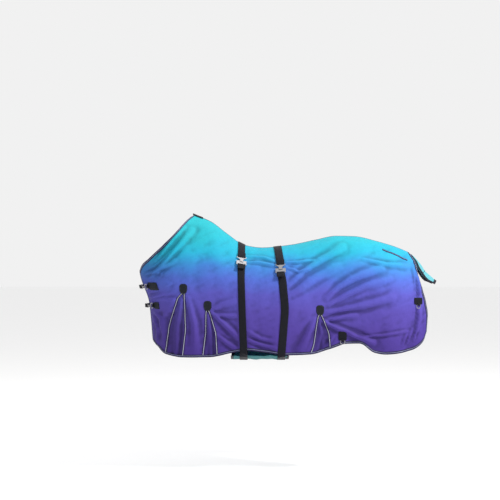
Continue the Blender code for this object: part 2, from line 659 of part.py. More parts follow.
def build_belly_band():
    """A wide band under the belly, hinged on the off side, held by the two girth straps."""
    tape = material("edge tape", BLACK, 0.7)
    y = np.linspace(-BAND_REACH, BAND_REACH, 15)[:, None]
    front, rear = BAND_CENTRE_X - BAND_LENGTH / 2, BAND_CENTRE_X + BAND_LENGTH / 2
    inset = BINDING_WIDTH + CLEARANCE
    hinge = (BAND_CENTRE_X, BAND_REACH, float(band_z(BAND_REACH)))
    add_object("belly_band", band_slab(np.linspace(front + inset, rear - inset, 5)[None, :], y, 0.0, CLOTH),
               material("band cloth", TEAL, 0.8), hinge)
    for name, edge, way in (("front", front, 1), ("rear", rear, -1)):
        x = np.array([edge, edge + way * BINDING_WIDTH])[None, :]
        add_object(f"belly_band_{name}_binding", band_slab(x, y, -0.0005, BINDING), tape, hinge)
    look = material("webbing", BLACK, 0.8)
    for where in SURCINGLES:
        origin, across, down, out = clip_frame(where)
        inner = origin - out * (PLATE + CLEARANCE) + down * CLIP_BAR
        centre = around_bar(inner, -down, out, BAR_TURN, LOOP_BACK)[::-1]
        half = [-across * WEBBING_WIDTH / 2] * len(centre)
        mid = LIFT_STRAP + WEBBING / 2
        first = CLIP_DROP[where] / TALL + CLIP_BAR + 0.030
        x = strap_x(where, 0.66)
        last = float(back_z(x)) - float(inner_hem(x)) + 0.016
        for below in np.linspace(first, last, 12):
            point, reach = strap_station(where, below, NEAR, mid)
            centre.append(point)
            half.append(reach)
        for y_under in np.linspace(-BAND_REACH - 0.010, -BAND_REACH + 0.10, 6):
            drop = band_z(max(y_under, -BAND_REACH)) - 0.006
            centre.append(np.array([x * LONG, y_under, drop]))
            half.append(np.array([WEBBING_WIDTH / 2, 0, 0]))
        add_object(f"{where}_girth_strap", ribbon(centre, half, WEBBING), look, hinge)


def inner_hem(x):
    return np.interp(x, [p[0] for p in HEM_LINE], [p[1] for p in HEM_LINE])


D_WIRE = 0.004
KEEPER_TURN = D_WIRE / 2 + CLEARANCE + WEBBING / 2
KEEPER_WIDTH = 0.018


def build_leg_rings():
    """Patches whose lower end turns round a D-ring for a leg strap."""
    look, metal = material("patch cloth", BLACK, 0.75), material("nickel", NICKEL, 0.3, 1.0)
    for name, side in SIDES.items():
        for where, (x, z, wide, high) in LEG_PATCHES.items():
            mid = LIFT_PATCH + WEBBING / 2
            foot = z - high / 2
            origin, across, down, out = frame_at(x, foot, side, mid)
            centre, half = [], []
            for step in np.linspace(high, 0.008, 4):
                centre.append(on_sheet(x, foot + step, side, mid))
                half.append(across * wide / 2)
            centre += around_bar(origin, down, out, KEEPER_TURN, 0.012)
            half += [across * KEEPER_WIDTH / 2] * (len(centre) - len(half))
            add_object(f"{name}_{where}_leg_patch", ribbon(centre, half, WEBBING), look)
            axis = origin + out * KEEPER_TURN
            reach = D_RING_RADIUS
            bow = [axis + across * reach * math.cos(a) + down * (0.004 + (reach + 0.002) * math.sin(a))
                   for a in np.linspace(0, math.pi, 9)]
            ring = [axis - across * reach, *(axis + across * reach * k for k in (-0.4, 0.4, 1))]
            add_object(f"{name}_{where}_leg_ring", tube_shape(ring + bow, D_WIRE / 2, True), metal, axis)


RING_AT = -0.100  # distance around the chest from its centre front
RING_TURN = RING_WIRE / 2 + CLEARANCE + WEBBING / 2
RING_LIFT = 0.005  # the ring's keeper stands this far off the patch
EYE_TURN = 0.0035
STRAP_END = 0.235
ADJUSTER_AT = 0.075
OFF_PATCH_AT = 0.130


def chest_strip(z, height, places, lifts):
    """Centres and half-width vectors of a strip that runs round the chest."""
    centre, half = [], []
    for along, lift in zip(places, np.broadcast_to(lifts, len(places))):
        ends = [chest_point(along, z + k * height / 2, lift) for k in (-1, 1)]
        centre.append((ends[0] + ends[1]) / 2)
        half.append(unit(ends[1] - ends[0]) * height / 2)
    return centre, half


def build_chest_level(level, z, patch_height, patch_length):
    metal = material("nickel", NICKEL, 0.3, 1.0)
    mid = LIFT_PATCH + WEBBING / 2
    origin, up, forward, out = chest_frame(RING_AT, z, mid + RING_LIFT)
    places = np.linspace(RING_AT - patch_length, RING_AT - 0.012, 6)
    centre, half = chest_strip(z, patch_height, places, mid)
    turn = around_bar(origin, forward, out, RING_TURN, 0.012)
    build_near_patch(level, centre + turn, half + [up * KEEPER_WIDTH / 2] * len(turn))
    axis = origin + out * RING_TURN
    r, stretch = CHEST_RING_RADIUS, CHEST_RING_RADIUS + 0.003
    bow = [axis + up * r * math.cos(a) + forward * (0.005 + stretch * math.sin(a))
           for a in np.linspace(0, math.pi, 11)]
    bar = [axis + up * r * k for k in (-1, -0.4, 0.4, 1)]
    add_object(f"{level}_chest_ring", tube_shape(bar + bow, RING_WIRE / 2, True), metal, axis)
    grip = axis + forward * (0.005 + stretch)
    build_snap(level, (grip, forward, up, out), metal)
    build_chest_strap(level, z, (grip, forward, up, out))
    build_adjuster(level, z, metal)
    places = np.linspace(OFF_PATCH_AT, OFF_PATCH_AT + patch_length, 6)
    under = ribbon(*chest_strip(z, patch_height, places, LIFT_PATCH - 0.0002), PATCH / 2)
    add_object(f"right_{level}_chest_patch", under, material("patch cloth", BLACK, 0.75))


def build_near_patch(level, centre, half):
    add_object(f"left_{level}_chest_patch", ribbon(centre, half, WEBBING), material("patch cloth", BLACK, 0.75))


def build_chest_strap(level, z, frame):
    """The off strap, from its loop on the snap's eye round to where it is sewn down."""
    grip, forward, up, out = frame
    start = grip + forward * (SNAP_LENGTH - 0.004) - out * EYE_TURN
    turn = around_bar(start, -forward, out, EYE_TURN, 0.020)[::-1]
    mid = LIFT_STRAP + WEBBING / 2
    places = np.concatenate([[0.0, 0.016], np.linspace(0.035, STRAP_END, 12)])
    lifts = np.array([mid + 0.006, mid + 0.003] + [mid] * 12)
    centre, half = chest_strip(z, CHEST_STRAP_WIDTH, places, lifts)
    half = [up * CHEST_STRAP_WIDTH / 2] * len(turn) + half
    add_object(f"{level}_chest_strap", ribbon(turn + centre, half, WEBBING), material("webbing", BLACK, 0.8))


def build_snap(level, frame, metal):
    """A bolt snap on edge: a hook round the ring's wire, a shank, a thumb bolt and a swivel eye."""
    grip, forward, up, out = frame
    wire = SNAP_WIRE
    r = RING_WIRE / 2 + 0.002 + wire
    hook = [grip + r * (math.cos(a) * forward + math.sin(a) * out)
            for a in np.linspace(math.radians(125), math.radians(360), 12)]
    shank = [grip + forward * d - out * r * k for d, k in ((r, 0.0), (r + 0.006, 0.2), (0.030, 0.2))]
    body = tube_shape(hook[:-1] + shank, wire, False)
    add_object(f"{level}_snap_body", body, metal, grip + forward * 0.03)
    start = grip + forward * 0.030 - out * r * 0.2
    eye_bar = grip + forward * (SNAP_LENGTH - 0.004)
    low, h = start + forward * (wire + 0.0006), CHEST_STRAP_WIDTH / 2 + 0.003
    frame_points = [low - up * h, low + up * h, eye_bar + up * h, eye_bar - up * h]
    add_object(f"{level}_snap_eye", tube_shape(frame_points, 0.0018, True), metal, start)
    bolt_frame = (grip + out * (r + 0.0002), up, forward, out)
    bolt = box_shape(bolt_frame, (-0.0022, -0.0005, 0.0), (0.0022, 0.020, 0.0030))
    add_object(f"{level}_snap_bolt", bolt, metal, grip + forward * 0.01 + out * r)


def build_adjuster(level, z, metal):
    """A slide: the end bars lie over the strap and the middle bar under it."""
    origin, up, forward, out = chest_frame(ADJUSTER_AT, z, LIFT_STRAP + WEBBING / 2)
    h, gap = CHEST_STRAP_WIDTH / 2 + 0.0025, WEBBING / 2 + CLEARANCE
    shape = box_shape((origin, up, forward, out), (-h - 0.002, -0.013, gap + 0.0008),
                      (h + 0.002, 0.013, gap + 0.0028))
    slide = add_object(f"{level}_adjuster", shape, metal)
    for k, place in enumerate((-0.006, 0.006)):
        cut_box(slide, f"{level}_adjuster_slot_{k}", (origin, up, forward, out),
                (-h + 0.002, place - 0.004, 0), (h - 0.002, place + 0.004, 0.02))


def flap_point(t, share, lift=0.0):
    """A point on the tail flap: t down its length, share across its half width."""
    crest = smooth_path(((0.968, -0.040), (1.015, -0.088), (1.066, -0.160), (1.130, -0.214)))
    t, share = np.broadcast_arrays(np.asarray(t, float), np.asarray(share, float))
    middle, ahead, behind = crest(t), crest(np.clip(t + 0.01, 0, 1)), crest(np.clip(t - 0.01, 0, 1))
    along = ahead - behind
    along /= np.linalg.norm(along, axis=-1, keepdims=True)
    out = np.stack([-along[..., 1], along[..., 0]], axis=-1)
    half = FLAP_WIDTH / 2 * np.interp(t, (0, 0.35, 0.8, 1), (0.30, 0.85, 1.0, 0.8))
    y = half * share
    sink = 0.042 * (y / (FLAP_WIDTH / 2)) ** 2
    flat = middle + out * (lift - sink)[..., None]
    return np.stack([flat[..., 0] * LONG, y, flat[..., 1] * TALL], axis=-1)


def build_tail_flap():
    hinge = (0.968 * LONG, 0.0, -0.040 * TALL)
    edge = BINDING_WIDTH / FLAP_LENGTH
    t = np.linspace(0.01, 1 - edge, 9)[:, None]
    side = 1 - 2 * BINDING_WIDTH / FLAP_WIDTH - 0.02
    s = np.linspace(-side, side, 9)[None, :]
    shape = slab(flap_point(t, s), flap_point(t, s, CLOTH))
    add_object("tail_flap", shape, material("flap cloth", TEAL, 0.8), hinge)
    ease = 2 * TAPE_EASE / FLAP_WIDTH
    inner = ([(v, -side - ease) for v in t[:, 0]] + [(1 - edge + 0.008, k) for k in s[0]]
             + [(v, side + ease) for v in t[::-1, 0]])
    outer = ([(v, -1.0) for v in t[:-1, 0]] + [(1.0, k) for k in np.linspace(-1, 1, len(s[0]) + 2)]
             + [(v, 1.0) for v in t[-2::-1, 0]])
    pairs = np.array([inner, outer])
    grid = pairs.transpose(1, 0, 2)
    shape = slab(flap_point(grid[..., 0], grid[..., 1], -0.0005),
                 flap_point(grid[..., 0], grid[..., 1], BINDING - 0.0005))
    add_object("tail_flap_binding", shape, material("edge tape", BLACK, 0.7), hinge)


def main():
    clear_scene()
    build_panels(inner_hem_height())
    build_bindings()
    build_gusset_patches()
    build_wither_patch()
    build_rump_darts()
    build_surcingles()
    for where in SURCINGLES:
        build_hook(where)
        build_clip_plate(where)
    build_belly_band()
    build_leg_rings()
    for level, sizes in CHEST_LEVELS.items():
        build_chest_level(level, *sizes)
    build_tail_flap()


main()
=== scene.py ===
"""Looks of the fly sheet: fine cloth with folds, dye, weave, tape, piping, webbing and metal.

Metres, in the CAD frame: +X toward the tail, +Y toward the off side, +Z up.
"""
import math

import bmesh
import bpy
import numpy as np
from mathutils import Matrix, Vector, noise


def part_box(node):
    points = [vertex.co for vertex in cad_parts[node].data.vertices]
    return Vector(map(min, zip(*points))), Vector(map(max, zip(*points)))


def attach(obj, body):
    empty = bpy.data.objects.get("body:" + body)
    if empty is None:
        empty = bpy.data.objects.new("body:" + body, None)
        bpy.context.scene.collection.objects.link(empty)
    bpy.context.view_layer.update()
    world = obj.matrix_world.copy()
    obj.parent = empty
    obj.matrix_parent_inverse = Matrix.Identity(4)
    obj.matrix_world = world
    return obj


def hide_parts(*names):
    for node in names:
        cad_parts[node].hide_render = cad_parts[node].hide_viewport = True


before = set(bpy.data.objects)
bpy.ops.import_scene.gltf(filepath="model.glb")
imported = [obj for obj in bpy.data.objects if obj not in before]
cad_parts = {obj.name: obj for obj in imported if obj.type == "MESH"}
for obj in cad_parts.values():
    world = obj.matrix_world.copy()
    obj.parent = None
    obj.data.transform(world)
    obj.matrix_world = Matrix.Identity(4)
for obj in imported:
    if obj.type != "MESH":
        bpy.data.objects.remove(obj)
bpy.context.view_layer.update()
scene = bpy.context.scene

# The drawn outlines below are for these sizes of the near side panel, as (length, width, height)
DRAWN_PANEL = (1.8306, 0.2798, 0.8799)
low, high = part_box("left_side_panel")
LONG, WIDE, TALL = ((high[i] - low[i]) / DRAWN_PANEL[i] for i in range(3))

# Cloth, tape and webbing, as in the CAD
CLOTH = 0.0016
BINDING_WIDTH = 0.018
SPINE_TAPE_WIDTH = 0.016
FRONT_GAP = 0.006
TUCK = 0.004  # how far the cloth runs in under the tape at its edge
GUSSET_PATCH_WIDTH = 0.050
GUSSET_PATCH_HEIGHT = 0.070
PIPING_RADIUS = 0.0021
EDGE_PIPING_RADIUS = 0.0014
STITCH_LENGTH = 0.0042
STITCH_RADIUS = 0.00045
DRAWN_STITCH = 0.0006  # half height of the stitches that are part of a tape's look
BAND_LENGTH = 0.37
BAND_CENTRE_X = -0.015
BAND_Z = -0.672
BAND_SAG = 0.0456
BAND_TILT = 0.012
BAND_INSET = 0.018  # how far the band stays inside the narrowest place above it
FLAP_LENGTH, FLAP_WIDTH = 0.245, 0.190

# Side view outlines in drawn metres (x, z), with z 0 at the low point of the back
BACK_LINE = ((-0.95, 0.44), (-0.728, 0.3575), (-0.585, 0.3055), (-0.475, 0.232), (-0.439, 0.2145),
             (-0.333, 0.170), (-0.220, 0.086), (-0.1105, 0.016), (0.0, 0.0), (0.182, 0.0175),
             (0.348, 0.051), (0.481, 0.076), (0.5915, 0.074), (0.7475, 0.041), (0.9555, -0.0325),
             (1.0, -0.07), (1.06, -0.16), (1.12, -0.28))
# Each height's foremost x
CHEST_LINE = ((-0.72, -0.690), (-0.60, -0.705), (-0.4485, -0.7176), (-0.341, -0.7306),
              (-0.212, -0.777), (-0.152, -0.794), (-0.05, -0.835), (0.0676, -0.936), (0.3, -1.05))
# At each x: the half width, how far below the back it is reached, and how square the back is
WIDTH_LINE = ((-0.95, 0.10), (-0.80, 0.14), (-0.65, 0.19), (-0.5, 0.225), (-0.3, 0.25), (0.0, 0.285),
              (0.2, 0.29), (0.42, 0.268), (0.6, 0.27), (0.75, 0.268), (0.87, 0.245), (0.96, 0.21),
              (1.05, 0.168), (1.15, 0.13))
DEPTH_LINE = ((-0.9, 0.30), (-0.44, 0.42), (-0.15, 0.36), (0.2, 0.32), (0.9, 0.32), (1.1, 0.28))
SHARP_LINE = ((-0.9, 1.6), (-0.44, 1.35), (-0.15, 1.8), (0.1, 2.1), (0.5, 2.0), (1.1, 1.9))
CHEST_ROUND = 0.20  # how far back the rounding of the chest runs
HEM_TAPER = 0.08  # how much narrower the sheet is at its foot
NECK_EDGE = ((-0.794, -0.152), (-0.770, -0.106), (-0.724, -0.066), (-0.658, -0.0065),
             (-0.5655, 0.0865), (-0.4654, 0.196), (-0.439, 0.2145))
HEM_LINE = ((-0.705, -0.602), (-0.663, -0.640), (-0.611, -0.678), (-0.5135, -0.6955),
            (-0.338, -0.693), (-0.195, -0.665), (-0.091, -0.648), (0.026, -0.662), (0.1625, -0.678),
            (0.308, -0.672), (0.428, -0.639), (0.5395, -0.606), (0.613, -0.605), (0.712, -0.664),
            (0.779, -0.675), (0.952, -0.650), (1.022, -0.596), (1.048, -0.533))
REAR_EDGE = ((0.9555, -0.0325), (0.988, -0.1086), (1.004, -0.181), (1.024, -0.254),
             (1.0446, -0.347), (1.054, -0.413), (1.048, -0.533))
NECK_SHARE = 0.18  # of the panel's columns that start on the neck edge

# Gussets: foot of the patch, then the two seams down to the hem
GUSSETS = {
    "front": ((-0.5005, -0.263), ((-0.532, -0.302), (-0.595, -0.504), (-0.620, -0.72)),
              ((-0.496, -0.302), (-0.486, -0.517), (-0.512, -0.72))),
    "girth": ((-0.346, -0.3705), ((-0.356, -0.402), (-0.3595, -0.543), (-0.382, -0.72)),
              ((-0.336, -0.402), (-0.293, -0.543), (-0.284, -0.72))),
    "flank": ((0.364, -0.3965), ((0.352, -0.430), (0.325, -0.612), (0.285, -0.72)),
              ((0.376, -0.430), (0.421, -0.5395), (0.436, -0.72))),
}
# The middle of each surcingle: (depth below the back line, x)
SURCINGLES = {
    "front": ((0.0, -0.133), (0.20, -0.134), (0.40, -0.128), (0.70, -0.117)),
    "rear": ((0.0, 0.100), (0.16, 0.122), (0.40, 0.143), (0.70, 0.119)),
}
# Where chest straps and leg patches hold the cloth flat: centres, then sizes of the flat place
CHEST_LEVELS = {"upper": (-0.245, 0.052), "lower": (-0.369, 0.044)}
LEG_PATCHES = {"front": (0.507, -0.558, 0.052, 0.060), "rear": (0.990, -0.340, 0.060, 0.046)}


def smooth_curve(points):
    """A smooth function through (position, value) points that never overshoots them."""
    at, value = (np.array(column, float) for column in zip(*points))
    step, rise = np.diff(at), np.diff(value)
    slope = rise / step
    tangent = np.zeros(len(at))
    tangent[0], tangent[-1] = slope[0], slope[-1]
    for i in range(1, len(at) - 1):
        if slope[i - 1] * slope[i] > 0:
            tangent[i] = 2 * slope[i - 1] * slope[i] / (slope[i - 1] + slope[i])

    def value_at(x):
        x = np.clip(np.asarray(x, float), at[0], at[-1])
        i = np.clip(np.searchsorted(at, x, side="right") - 1, 0, len(step) - 1)
        t = (x - at[i]) / step[i]
        return (value[i] * (1 + 2 * t) * (1 - t) ** 2 + value[i + 1] * t * t * (3 - 2 * t)
                + step[i] * (tangent[i] * t * (1 - t) ** 2 - tangent[i + 1] * t * t * (1 - t)))

    return value_at


def run_along(points):
    """Distance along a line of points, from its start."""
    return np.concatenate([[0], np.cumsum(np.linalg.norm(np.diff(points, axis=0), axis=1))])


def smooth_path(points):
    """A function from 0..1 to a point along a smooth path through (x, z) points."""
    points = np.array(points, float)
    along = run_along(points)
    along /= along[-1]
    xs, zs = (smooth_curve(list(zip(along, points[:, i]))) for i in (0, 1))
    return lambda t: np.stack([xs(t), zs(t)], axis=-1)


back_z = smooth_curve(BACK_LINE)
chest_x = smooth_curve(CHEST_LINE)
widest = smooth_curve(WIDTH_LINE)
round_depth = smooth_curve(DEPTH_LINE)
sharpness = smooth_curve(SHARP_LINE)
neck_edge, hem_edge, rear_edge = (smooth_path(line) for line in (NECK_EDGE, HEM_LINE, REAR_EDGE))


def half_width(x, z):
    """Distance of the sheet's inner face from the centre plane, in drawn sizes."""
    below = np.maximum(back_z(x) - z, 0.0)
    depth = round_depth(x)
    a = np.clip(below / depth, 0.0, 1.0)
    b = np.clip((x - chest_x(z)) / CHEST_ROUND, 0.0, 1.0)
    taper = 1 - HEM_TAPER * np.clip((below - depth) / depth, 0.0, 1.0) ** 1.5
    over_back = (1 - (1 - a) ** 2) ** (1 / sharpness(x))
    return widest(x) * over_back * np.sqrt(1 - (1 - b) ** 2) * taper


def outward(x, z, side):
    """Unit normals of the drawn surface, pointing out of the horse."""
    small = 1e-4
    z = np.minimum(z, back_z(x) - 2 * small)
    x = np.maximum(x, chest_x(z) + 2 * small)
    by_x = (half_width(x + small, z) - half_width(x - small, z)) / (2 * small)
    by_z = (half_width(x, z + small) - half_width(x, z - small)) / (2 * small)
    normal = np.stack([-by_x / LONG, np.full_like(by_x, side / WIDE), -by_z / TALL], axis=-1)
    return normal / np.linalg.norm(normal, axis=-1, keepdims=True)


def on_sheet(x, z, side, lift=0.0):
    """World points on the side, at drawn (x, z), lifted off the inner face."""
    x, z = np.broadcast_arrays(np.asarray(x, float), np.asarray(z, float))
    z = np.minimum(z, back_z(x))
    points = np.stack([x * LONG, side * half_width(x, z) * WIDE, z * TALL], axis=-1)
    return points + outward(x, z, side) * np.asarray(lift)[..., None]


def top_edge(u):
    """The neck edge, then the back line."""
    on_neck = neck_edge(np.clip(u / NECK_SHARE, 0, 1))
    start, end = NECK_EDGE[-1][0], REAR_EDGE[0][0]
    x = start + (end - start) * np.clip((u - NECK_SHARE) / (1 - NECK_SHARE), 0, 1)
    return np.where((u < NECK_SHARE)[..., None], on_neck, np.stack([x, back_z(x)], axis=-1))


def front_edge(v):
    top, foot = NECK_EDGE[0][1], HEM_LINE[0][1]
    z = top + (foot - top) * v
    return np.stack([chest_x(z), z], axis=-1)


def side_view(u, v):
    """Drawn (x, z) of the side panel at shares u (front to rear) and v (top to hem)."""
    u, v = np.broadcast_arrays(np.asarray(u, float), np.asarray(v, float))
    s, t = u[..., None], v[..., None]
    edges = ((1 - t) * top_edge(u) + t * hem_edge(u) + (1 - s) * front_edge(v) + s * rear_edge(v))
    corners = ((1 - s) * (1 - t) * np.array(NECK_EDGE[0]) + s * (1 - t) * np.array(REAR_EDGE[0])
               + (1 - s) * t * np.array(HEM_LINE[0]) + s * t * np.array(HEM_LINE[-1]))
    return edges - corners


NEAR, OFF = -1, 1
SIDES = {"left": NEAR, "right": OFF}
FINE = np.linspace(0, 1, 400) ** 2  # closer together toward the edge it starts from


def share_inside(distance, across, edge):
    """The share at which each line across the panel is this far, along the cloth, from an edge."""
    found = []
    for other in np.atleast_1d(across):
        fine = FINE if edge in ("top", "front") else 1 - FINE
        fixed = np.full_like(fine, other)
        u, v = (fixed, fine) if edge in ("top", "hem") else (fine, fixed)
        flat = side_view(u, v)
        points = on_sheet(flat[..., 0], flat[..., 1], OFF)
        found.append(np.interp(distance, run_along(points), fine))
    return np.array(found)


def seam_x(seam, z):
    return np.interp(-np.asarray(z), [-p[1] for p in seam], [p[0] for p in seam])


def unit(vector):
    return vector / np.linalg.norm(vector)


# Folds of the worn cloth in millimetres: height, half width, then x and z of each point along it
CREASES = (
    (-8, 7, 972, -95, 984, -230, 986, -330, 972, -520),
    (7, 10, -768, -170, -690, -150, -600, -170),
    (6, 10, -745, -215, -670, -215, -590, -260),
    (8, 12, -700, -440, -672, -520, -676, -610),
    (6, 10, -735, -290, -660, -260, -585, -225),
    (6, 12, -687, -90, -600, 10, -528, 89),
    (9, 17, -707, -179, -587, -50, -448.5, 109),
    (6, 13, -660, -65, -577, 39, -500, 130),
    (5, 9, -690, -120, -640, -70, -560, 20),
    (6, 14, -730, -165, -640, -130, -560, -80),
    (6, 13, -756.5, -319, -690, -310, -617, -289),
    (5, 12, -700, -340, -640, -325, -560, -335),
    (7, 18, -690, -400, -640, -470, -630, -600),
    (8, 16, -319, -408, -240, -480, -150, -568),
    (7, 13, -289, -548, -230, -595, -165, -637),
    (6, 13, -319, -417, -240, -428, -165, -427),
    (5, 18, -330, -400, -260, -360, -170, -335),
    (7, 22, -470, -320, -430, -480, -425, -640),
    (6, 18, -560, -330, -620, -420, -655, -520),
    (8, 13, -100, -577, 0, -612, 100, -637),
    (5, 15, -100, -520, -10, -575, 90, -600),
    (5, 9, -110, -90, -20, -95, 85, -112),
    (4, 8, -100, -52, 0, -60, 94, -89),
    (5, 8, 140, -94, 220, -90, 330, -76),
    (4, 10, 145, -120, 230, -150, 300, -140),
    (9, 20, 167, -235, 260, -150, 368, -80, 513.5, 2),
    (6, 24, 160, -300, 250, -250, 360, -180, 480, -120),
    (9, 22, 404, -317, 480, -250, 568, -199, 751, -125),
    (6, 20, 420, -360, 520, -300, 640, -240, 800, -200),
    (10, 22, 404, -408, 520, -385, 632, -363, 814, -317),
    (8, 16, 395, -460, 480, -440, 587, -418),
    (15, 17, 380, -462, 486, -512, 596, -560, 700, -600),
    (6, 9, 605, -563, 760, -552, 933, -527),
    (5, 14, 640, -72, 800, -105, 940, -117),
    (9, 15, 965, -115, 995, -230, 1005, -330, 990, -520),
    (7, 9, 924, -605, 935, -560, 958, -515),
    (6, 9, 885, -625, 900, -580, 925, -540),
    (6, 9, 965, -590, 975, -540, 985, -480),
    (8, 20, 330, -450, 290, -540, 240, -640),
    (6, 12, 360, -440, 370, -540, 350, -650),
    (6, 12, 450, -560, 420, -600, 390, -630),
    (6, 14, -346, -420, -335, -540, -340, -670),
    (7, 18, -515, -330, -545, -500, -560, -660),
)


FOLD_GAIN = 1.5  # how much deeper all the folds are than their listed heights
FOLD_RANGE = (-0.0060, 0.021)


def crease_height(x, z, points, height, width):
    """A rounded ridge along the points, with a shallow valley on its lower side."""
    best = np.full(x.shape, 9.0)
    share = np.zeros(x.shape)
    for i, (a, b) in enumerate(zip(points, points[1:])):
        along = b - a
        t = np.clip(((x - a[0]) * along[0] + (z - a[1]) * along[1]) / (along @ along), 0, 1)
        away = np.hypot(x - a[0] - t * along[0], z - a[1] - t * along[1])
        nearer = away < best
        best = np.where(nearer, away, best)
        share = np.where(nearer, (i + t) / (len(points) - 1), share)
    fade = np.sin(np.pi * np.clip(0.12 + 0.76 * share, 0, 1))
    spread = width * (0.62 + 0.45 * share)
    valley = np.exp(-(((best - 1.8 * spread) / spread) ** 2))
    ridge = np.exp(-((best / spread) ** 2)) - 0.45 * valley
    return height * fade * ridge


def soft_noise(x, z, size, seed):
    """Smooth noise in -1..1 over side-view places."""
    flat = np.stack([x.ravel() / size, z.ravel() / size], axis=-1)
    values = [noise.noise(Vector((a, b, seed))) for a, b in flat]
    return np.array(values).reshape(x.shape)


def under_straps(x, z):
    """1 where the cloth is free and 0 where a strap or patch holds it flat."""
    free = np.ones(x.shape)
    for line in SURCINGLES.values():
        middle = np.interp(back_z(x) - z, *zip(*line))
        free *= 1 - np.exp(-((x - middle) / 0.034) ** 4)
    for (px, pz), _, _ in GUSSETS.values():
        free *= 1 - np.exp(-(((x - px) / 0.035) ** 2 + ((z - pz) / 0.045) ** 2) ** 2)
    for px, pz, wide, high in LEG_PATCHES.values():
        free *= 1 - np.exp(-(((x - px) / wide) ** 2 + ((z - pz + 0.01) / high) ** 2) ** 2)
    for z_level, tall in CHEST_LEVELS.values():
        free *= 1 - np.exp(-((z - z_level) / tall) ** 4) * (x < -0.60)
    return free


def folds(x, z, side):
    """How far the worn cloth stands off its smooth shape."""
    x, z = np.broadcast_arrays(np.asarray(x, float), np.asarray(z, float))
    height = np.zeros(x.shape)
    strength = 1.0 if side == NEAR else 0.85
    for tall, width, *line in CREASES:
        points = np.array(line).reshape(-1, 2) / 1000
        height = height + crease_height(x, z, points, tall / 1000 * strength, width / 1000)
    height = height + 0.0028 * soft_noise(x, z * 0.6, 0.075, 3.0 * side)
    slant = soft_noise(x * 0.35 + z * 0.25, (z - x * 0.5) * 1.6, 0.050, 5.0 * side)
    height = height + 0.0015 * slant
    height = height + 0.0006 * soft_noise(x + z, z - x, 0.030, 7.0 * side)
    hem_share = np.clip((-0.42 - z) / 0.26, 0, 1)
    height = height + 0.004 * hem_share * np.sin(x * 34 + 2.2 * side) * np.clip((x + 0.75) * 4, 0, 1)
    centred = np.clip((back_z(x) - z) / 0.045, 0, 1) * np.clip((x - chest_x(z)) / 0.02, 0, 1)
    return np.clip(height * FOLD_GAIN, *FOLD_RANGE) * under_straps(x, z) * centred


def cloth_points(x, z, side, lift=0.0):
    return on_sheet(x, z, side, lift + folds(x, z, side))


# ---- materials


def node_material(name, **values):
    """A material whose shader has these values, with _ for each space in a socket's name."""
    made = bpy.data.materials.new(name)
    made.use_nodes = True
    tree = made.node_tree
    shader = tree.nodes["Principled BSDF"]
    for socket, value in values.items():
        shader.inputs[socket.replace("_", " ")].default_value = value
    return made, tree, shader


def math_node(tree, operation, first, second=None):
    node = tree.nodes.new("ShaderNodeMath")
    node.operation = operation
    for socket, value in zip(node.inputs, (first, second)):
        if isinstance(value, (int, float)):
            socket.default_value = value
        elif value is not None:
            tree.links.new(value, socket)
    return node.outputs[0]


def plus(tree, first, second):
    return math_node(tree, "ADD", first, second)


def times(tree, first, second):
    return math_node(tree, "MULTIPLY", first, second)


def weighted_sum(tree, first, first_weight, second, second_weight):
    return plus(tree, times(tree, first, first_weight), times(tree, second, second_weight))


def texture_place(tree, kind):
    return tree.nodes.new("ShaderNodeTexCoord").outputs[kind]


def split_axes(tree, place):
    split = tree.nodes.new("ShaderNodeSeparateXYZ")
    tree.links.new(place, split.inputs[0])
    return split.outputs


def noise_texture(tree, place, scale, detail, roughness=0.5):
    texture = tree.nodes.new("ShaderNodeTexNoise")
    for socket, value in (("Scale", scale), ("Detail", detail), ("Roughness", roughness)):
        texture.inputs[socket].default_value = value
    tree.links.new(place, texture.inputs["Vector"])
    return texture.outputs["Fac"]


def colour_ramp(tree, share, stops):
    """The colour at a share of the way through (position, colour) stops."""
    node = tree.nodes.new("ShaderNodeValToRGB")
    elements = node.color_ramp.elements
    while len(elements) < len(stops):
        elements.new(0.5)
    for element, (position, colour) in zip(elements, stops):
        element.position = position
        element.color = (*colour, 1)
    tree.links.new(share, node.inputs["Fac"])
    return node.outputs["Color"]


def scaled(colour, factor, extra=0.0):
    return tuple(min(c * factor + extra, 1) for c in colour)


def weave(tree, pitch_along, pitch_across, sharp):
    """Height of a plain weave, 0..1, and the UV axes, which are in metres."""
    axes = split_axes(tree, texture_place(tree, "UV"))
    waves = [math_node(tree, "SINE", times(tree, axis, 2 * math.pi / pitch))
             for axis, pitch in zip(axes, (pitch_along, pitch_across))]
    both = times(tree, *(math_node(tree, "ABSOLUTE", wave) for wave in waves))
    return math_node(tree, "POWER", both, sharp), axes


def add_bump(tree, shader, height, strength, distance):
    bump = tree.nodes.new("ShaderNodeBump")
    bump.inputs["Strength"].default_value = strength
    bump.inputs["Distance"].default_value = distance
    tree.links.new(height, bump.inputs["Height"])
    tree.links.new(bump.outputs["Normal"], shader.inputs["Normal"])


MESH_PITCH = 0.0026
DYE_DEPTH = 0.74
HOLLOW_DEPTH = 0.004
HOLLOW_SHADE = 0.42  # how much darker the deepest fold is: painted shade in the folds
CHEST_PAINTED_SHADE = 0.75  # painted shade: the cloth is drawn darker toward the chest front, by up to this share
CHEST_SHADE_FROM, CHEST_SHADE_RUN = -0.60, 0.20
DYE_WANDER = 0.11  # how far the colour bands wander up and down
DYE = ((0.24, (0.020, 0.450, 0.500)), (0.06, (0.016, 0.430, 0.530)), (-0.03, (0.016, 0.400, 0.590)),
       (-0.075, (0.026, 0.335, 0.620)), (-0.130, (0.050, 0.215, 0.620)), (-0.20, (0.078, 0.140, 0.590)),
       (-0.29, (0.098, 0.090, 0.480)), (-0.41, (0.092, 0.064, 0.380)), (-0.56, (0.076, 0.044, 0.300)),
       (-0.72, (0.052, 0.026, 0.215)))


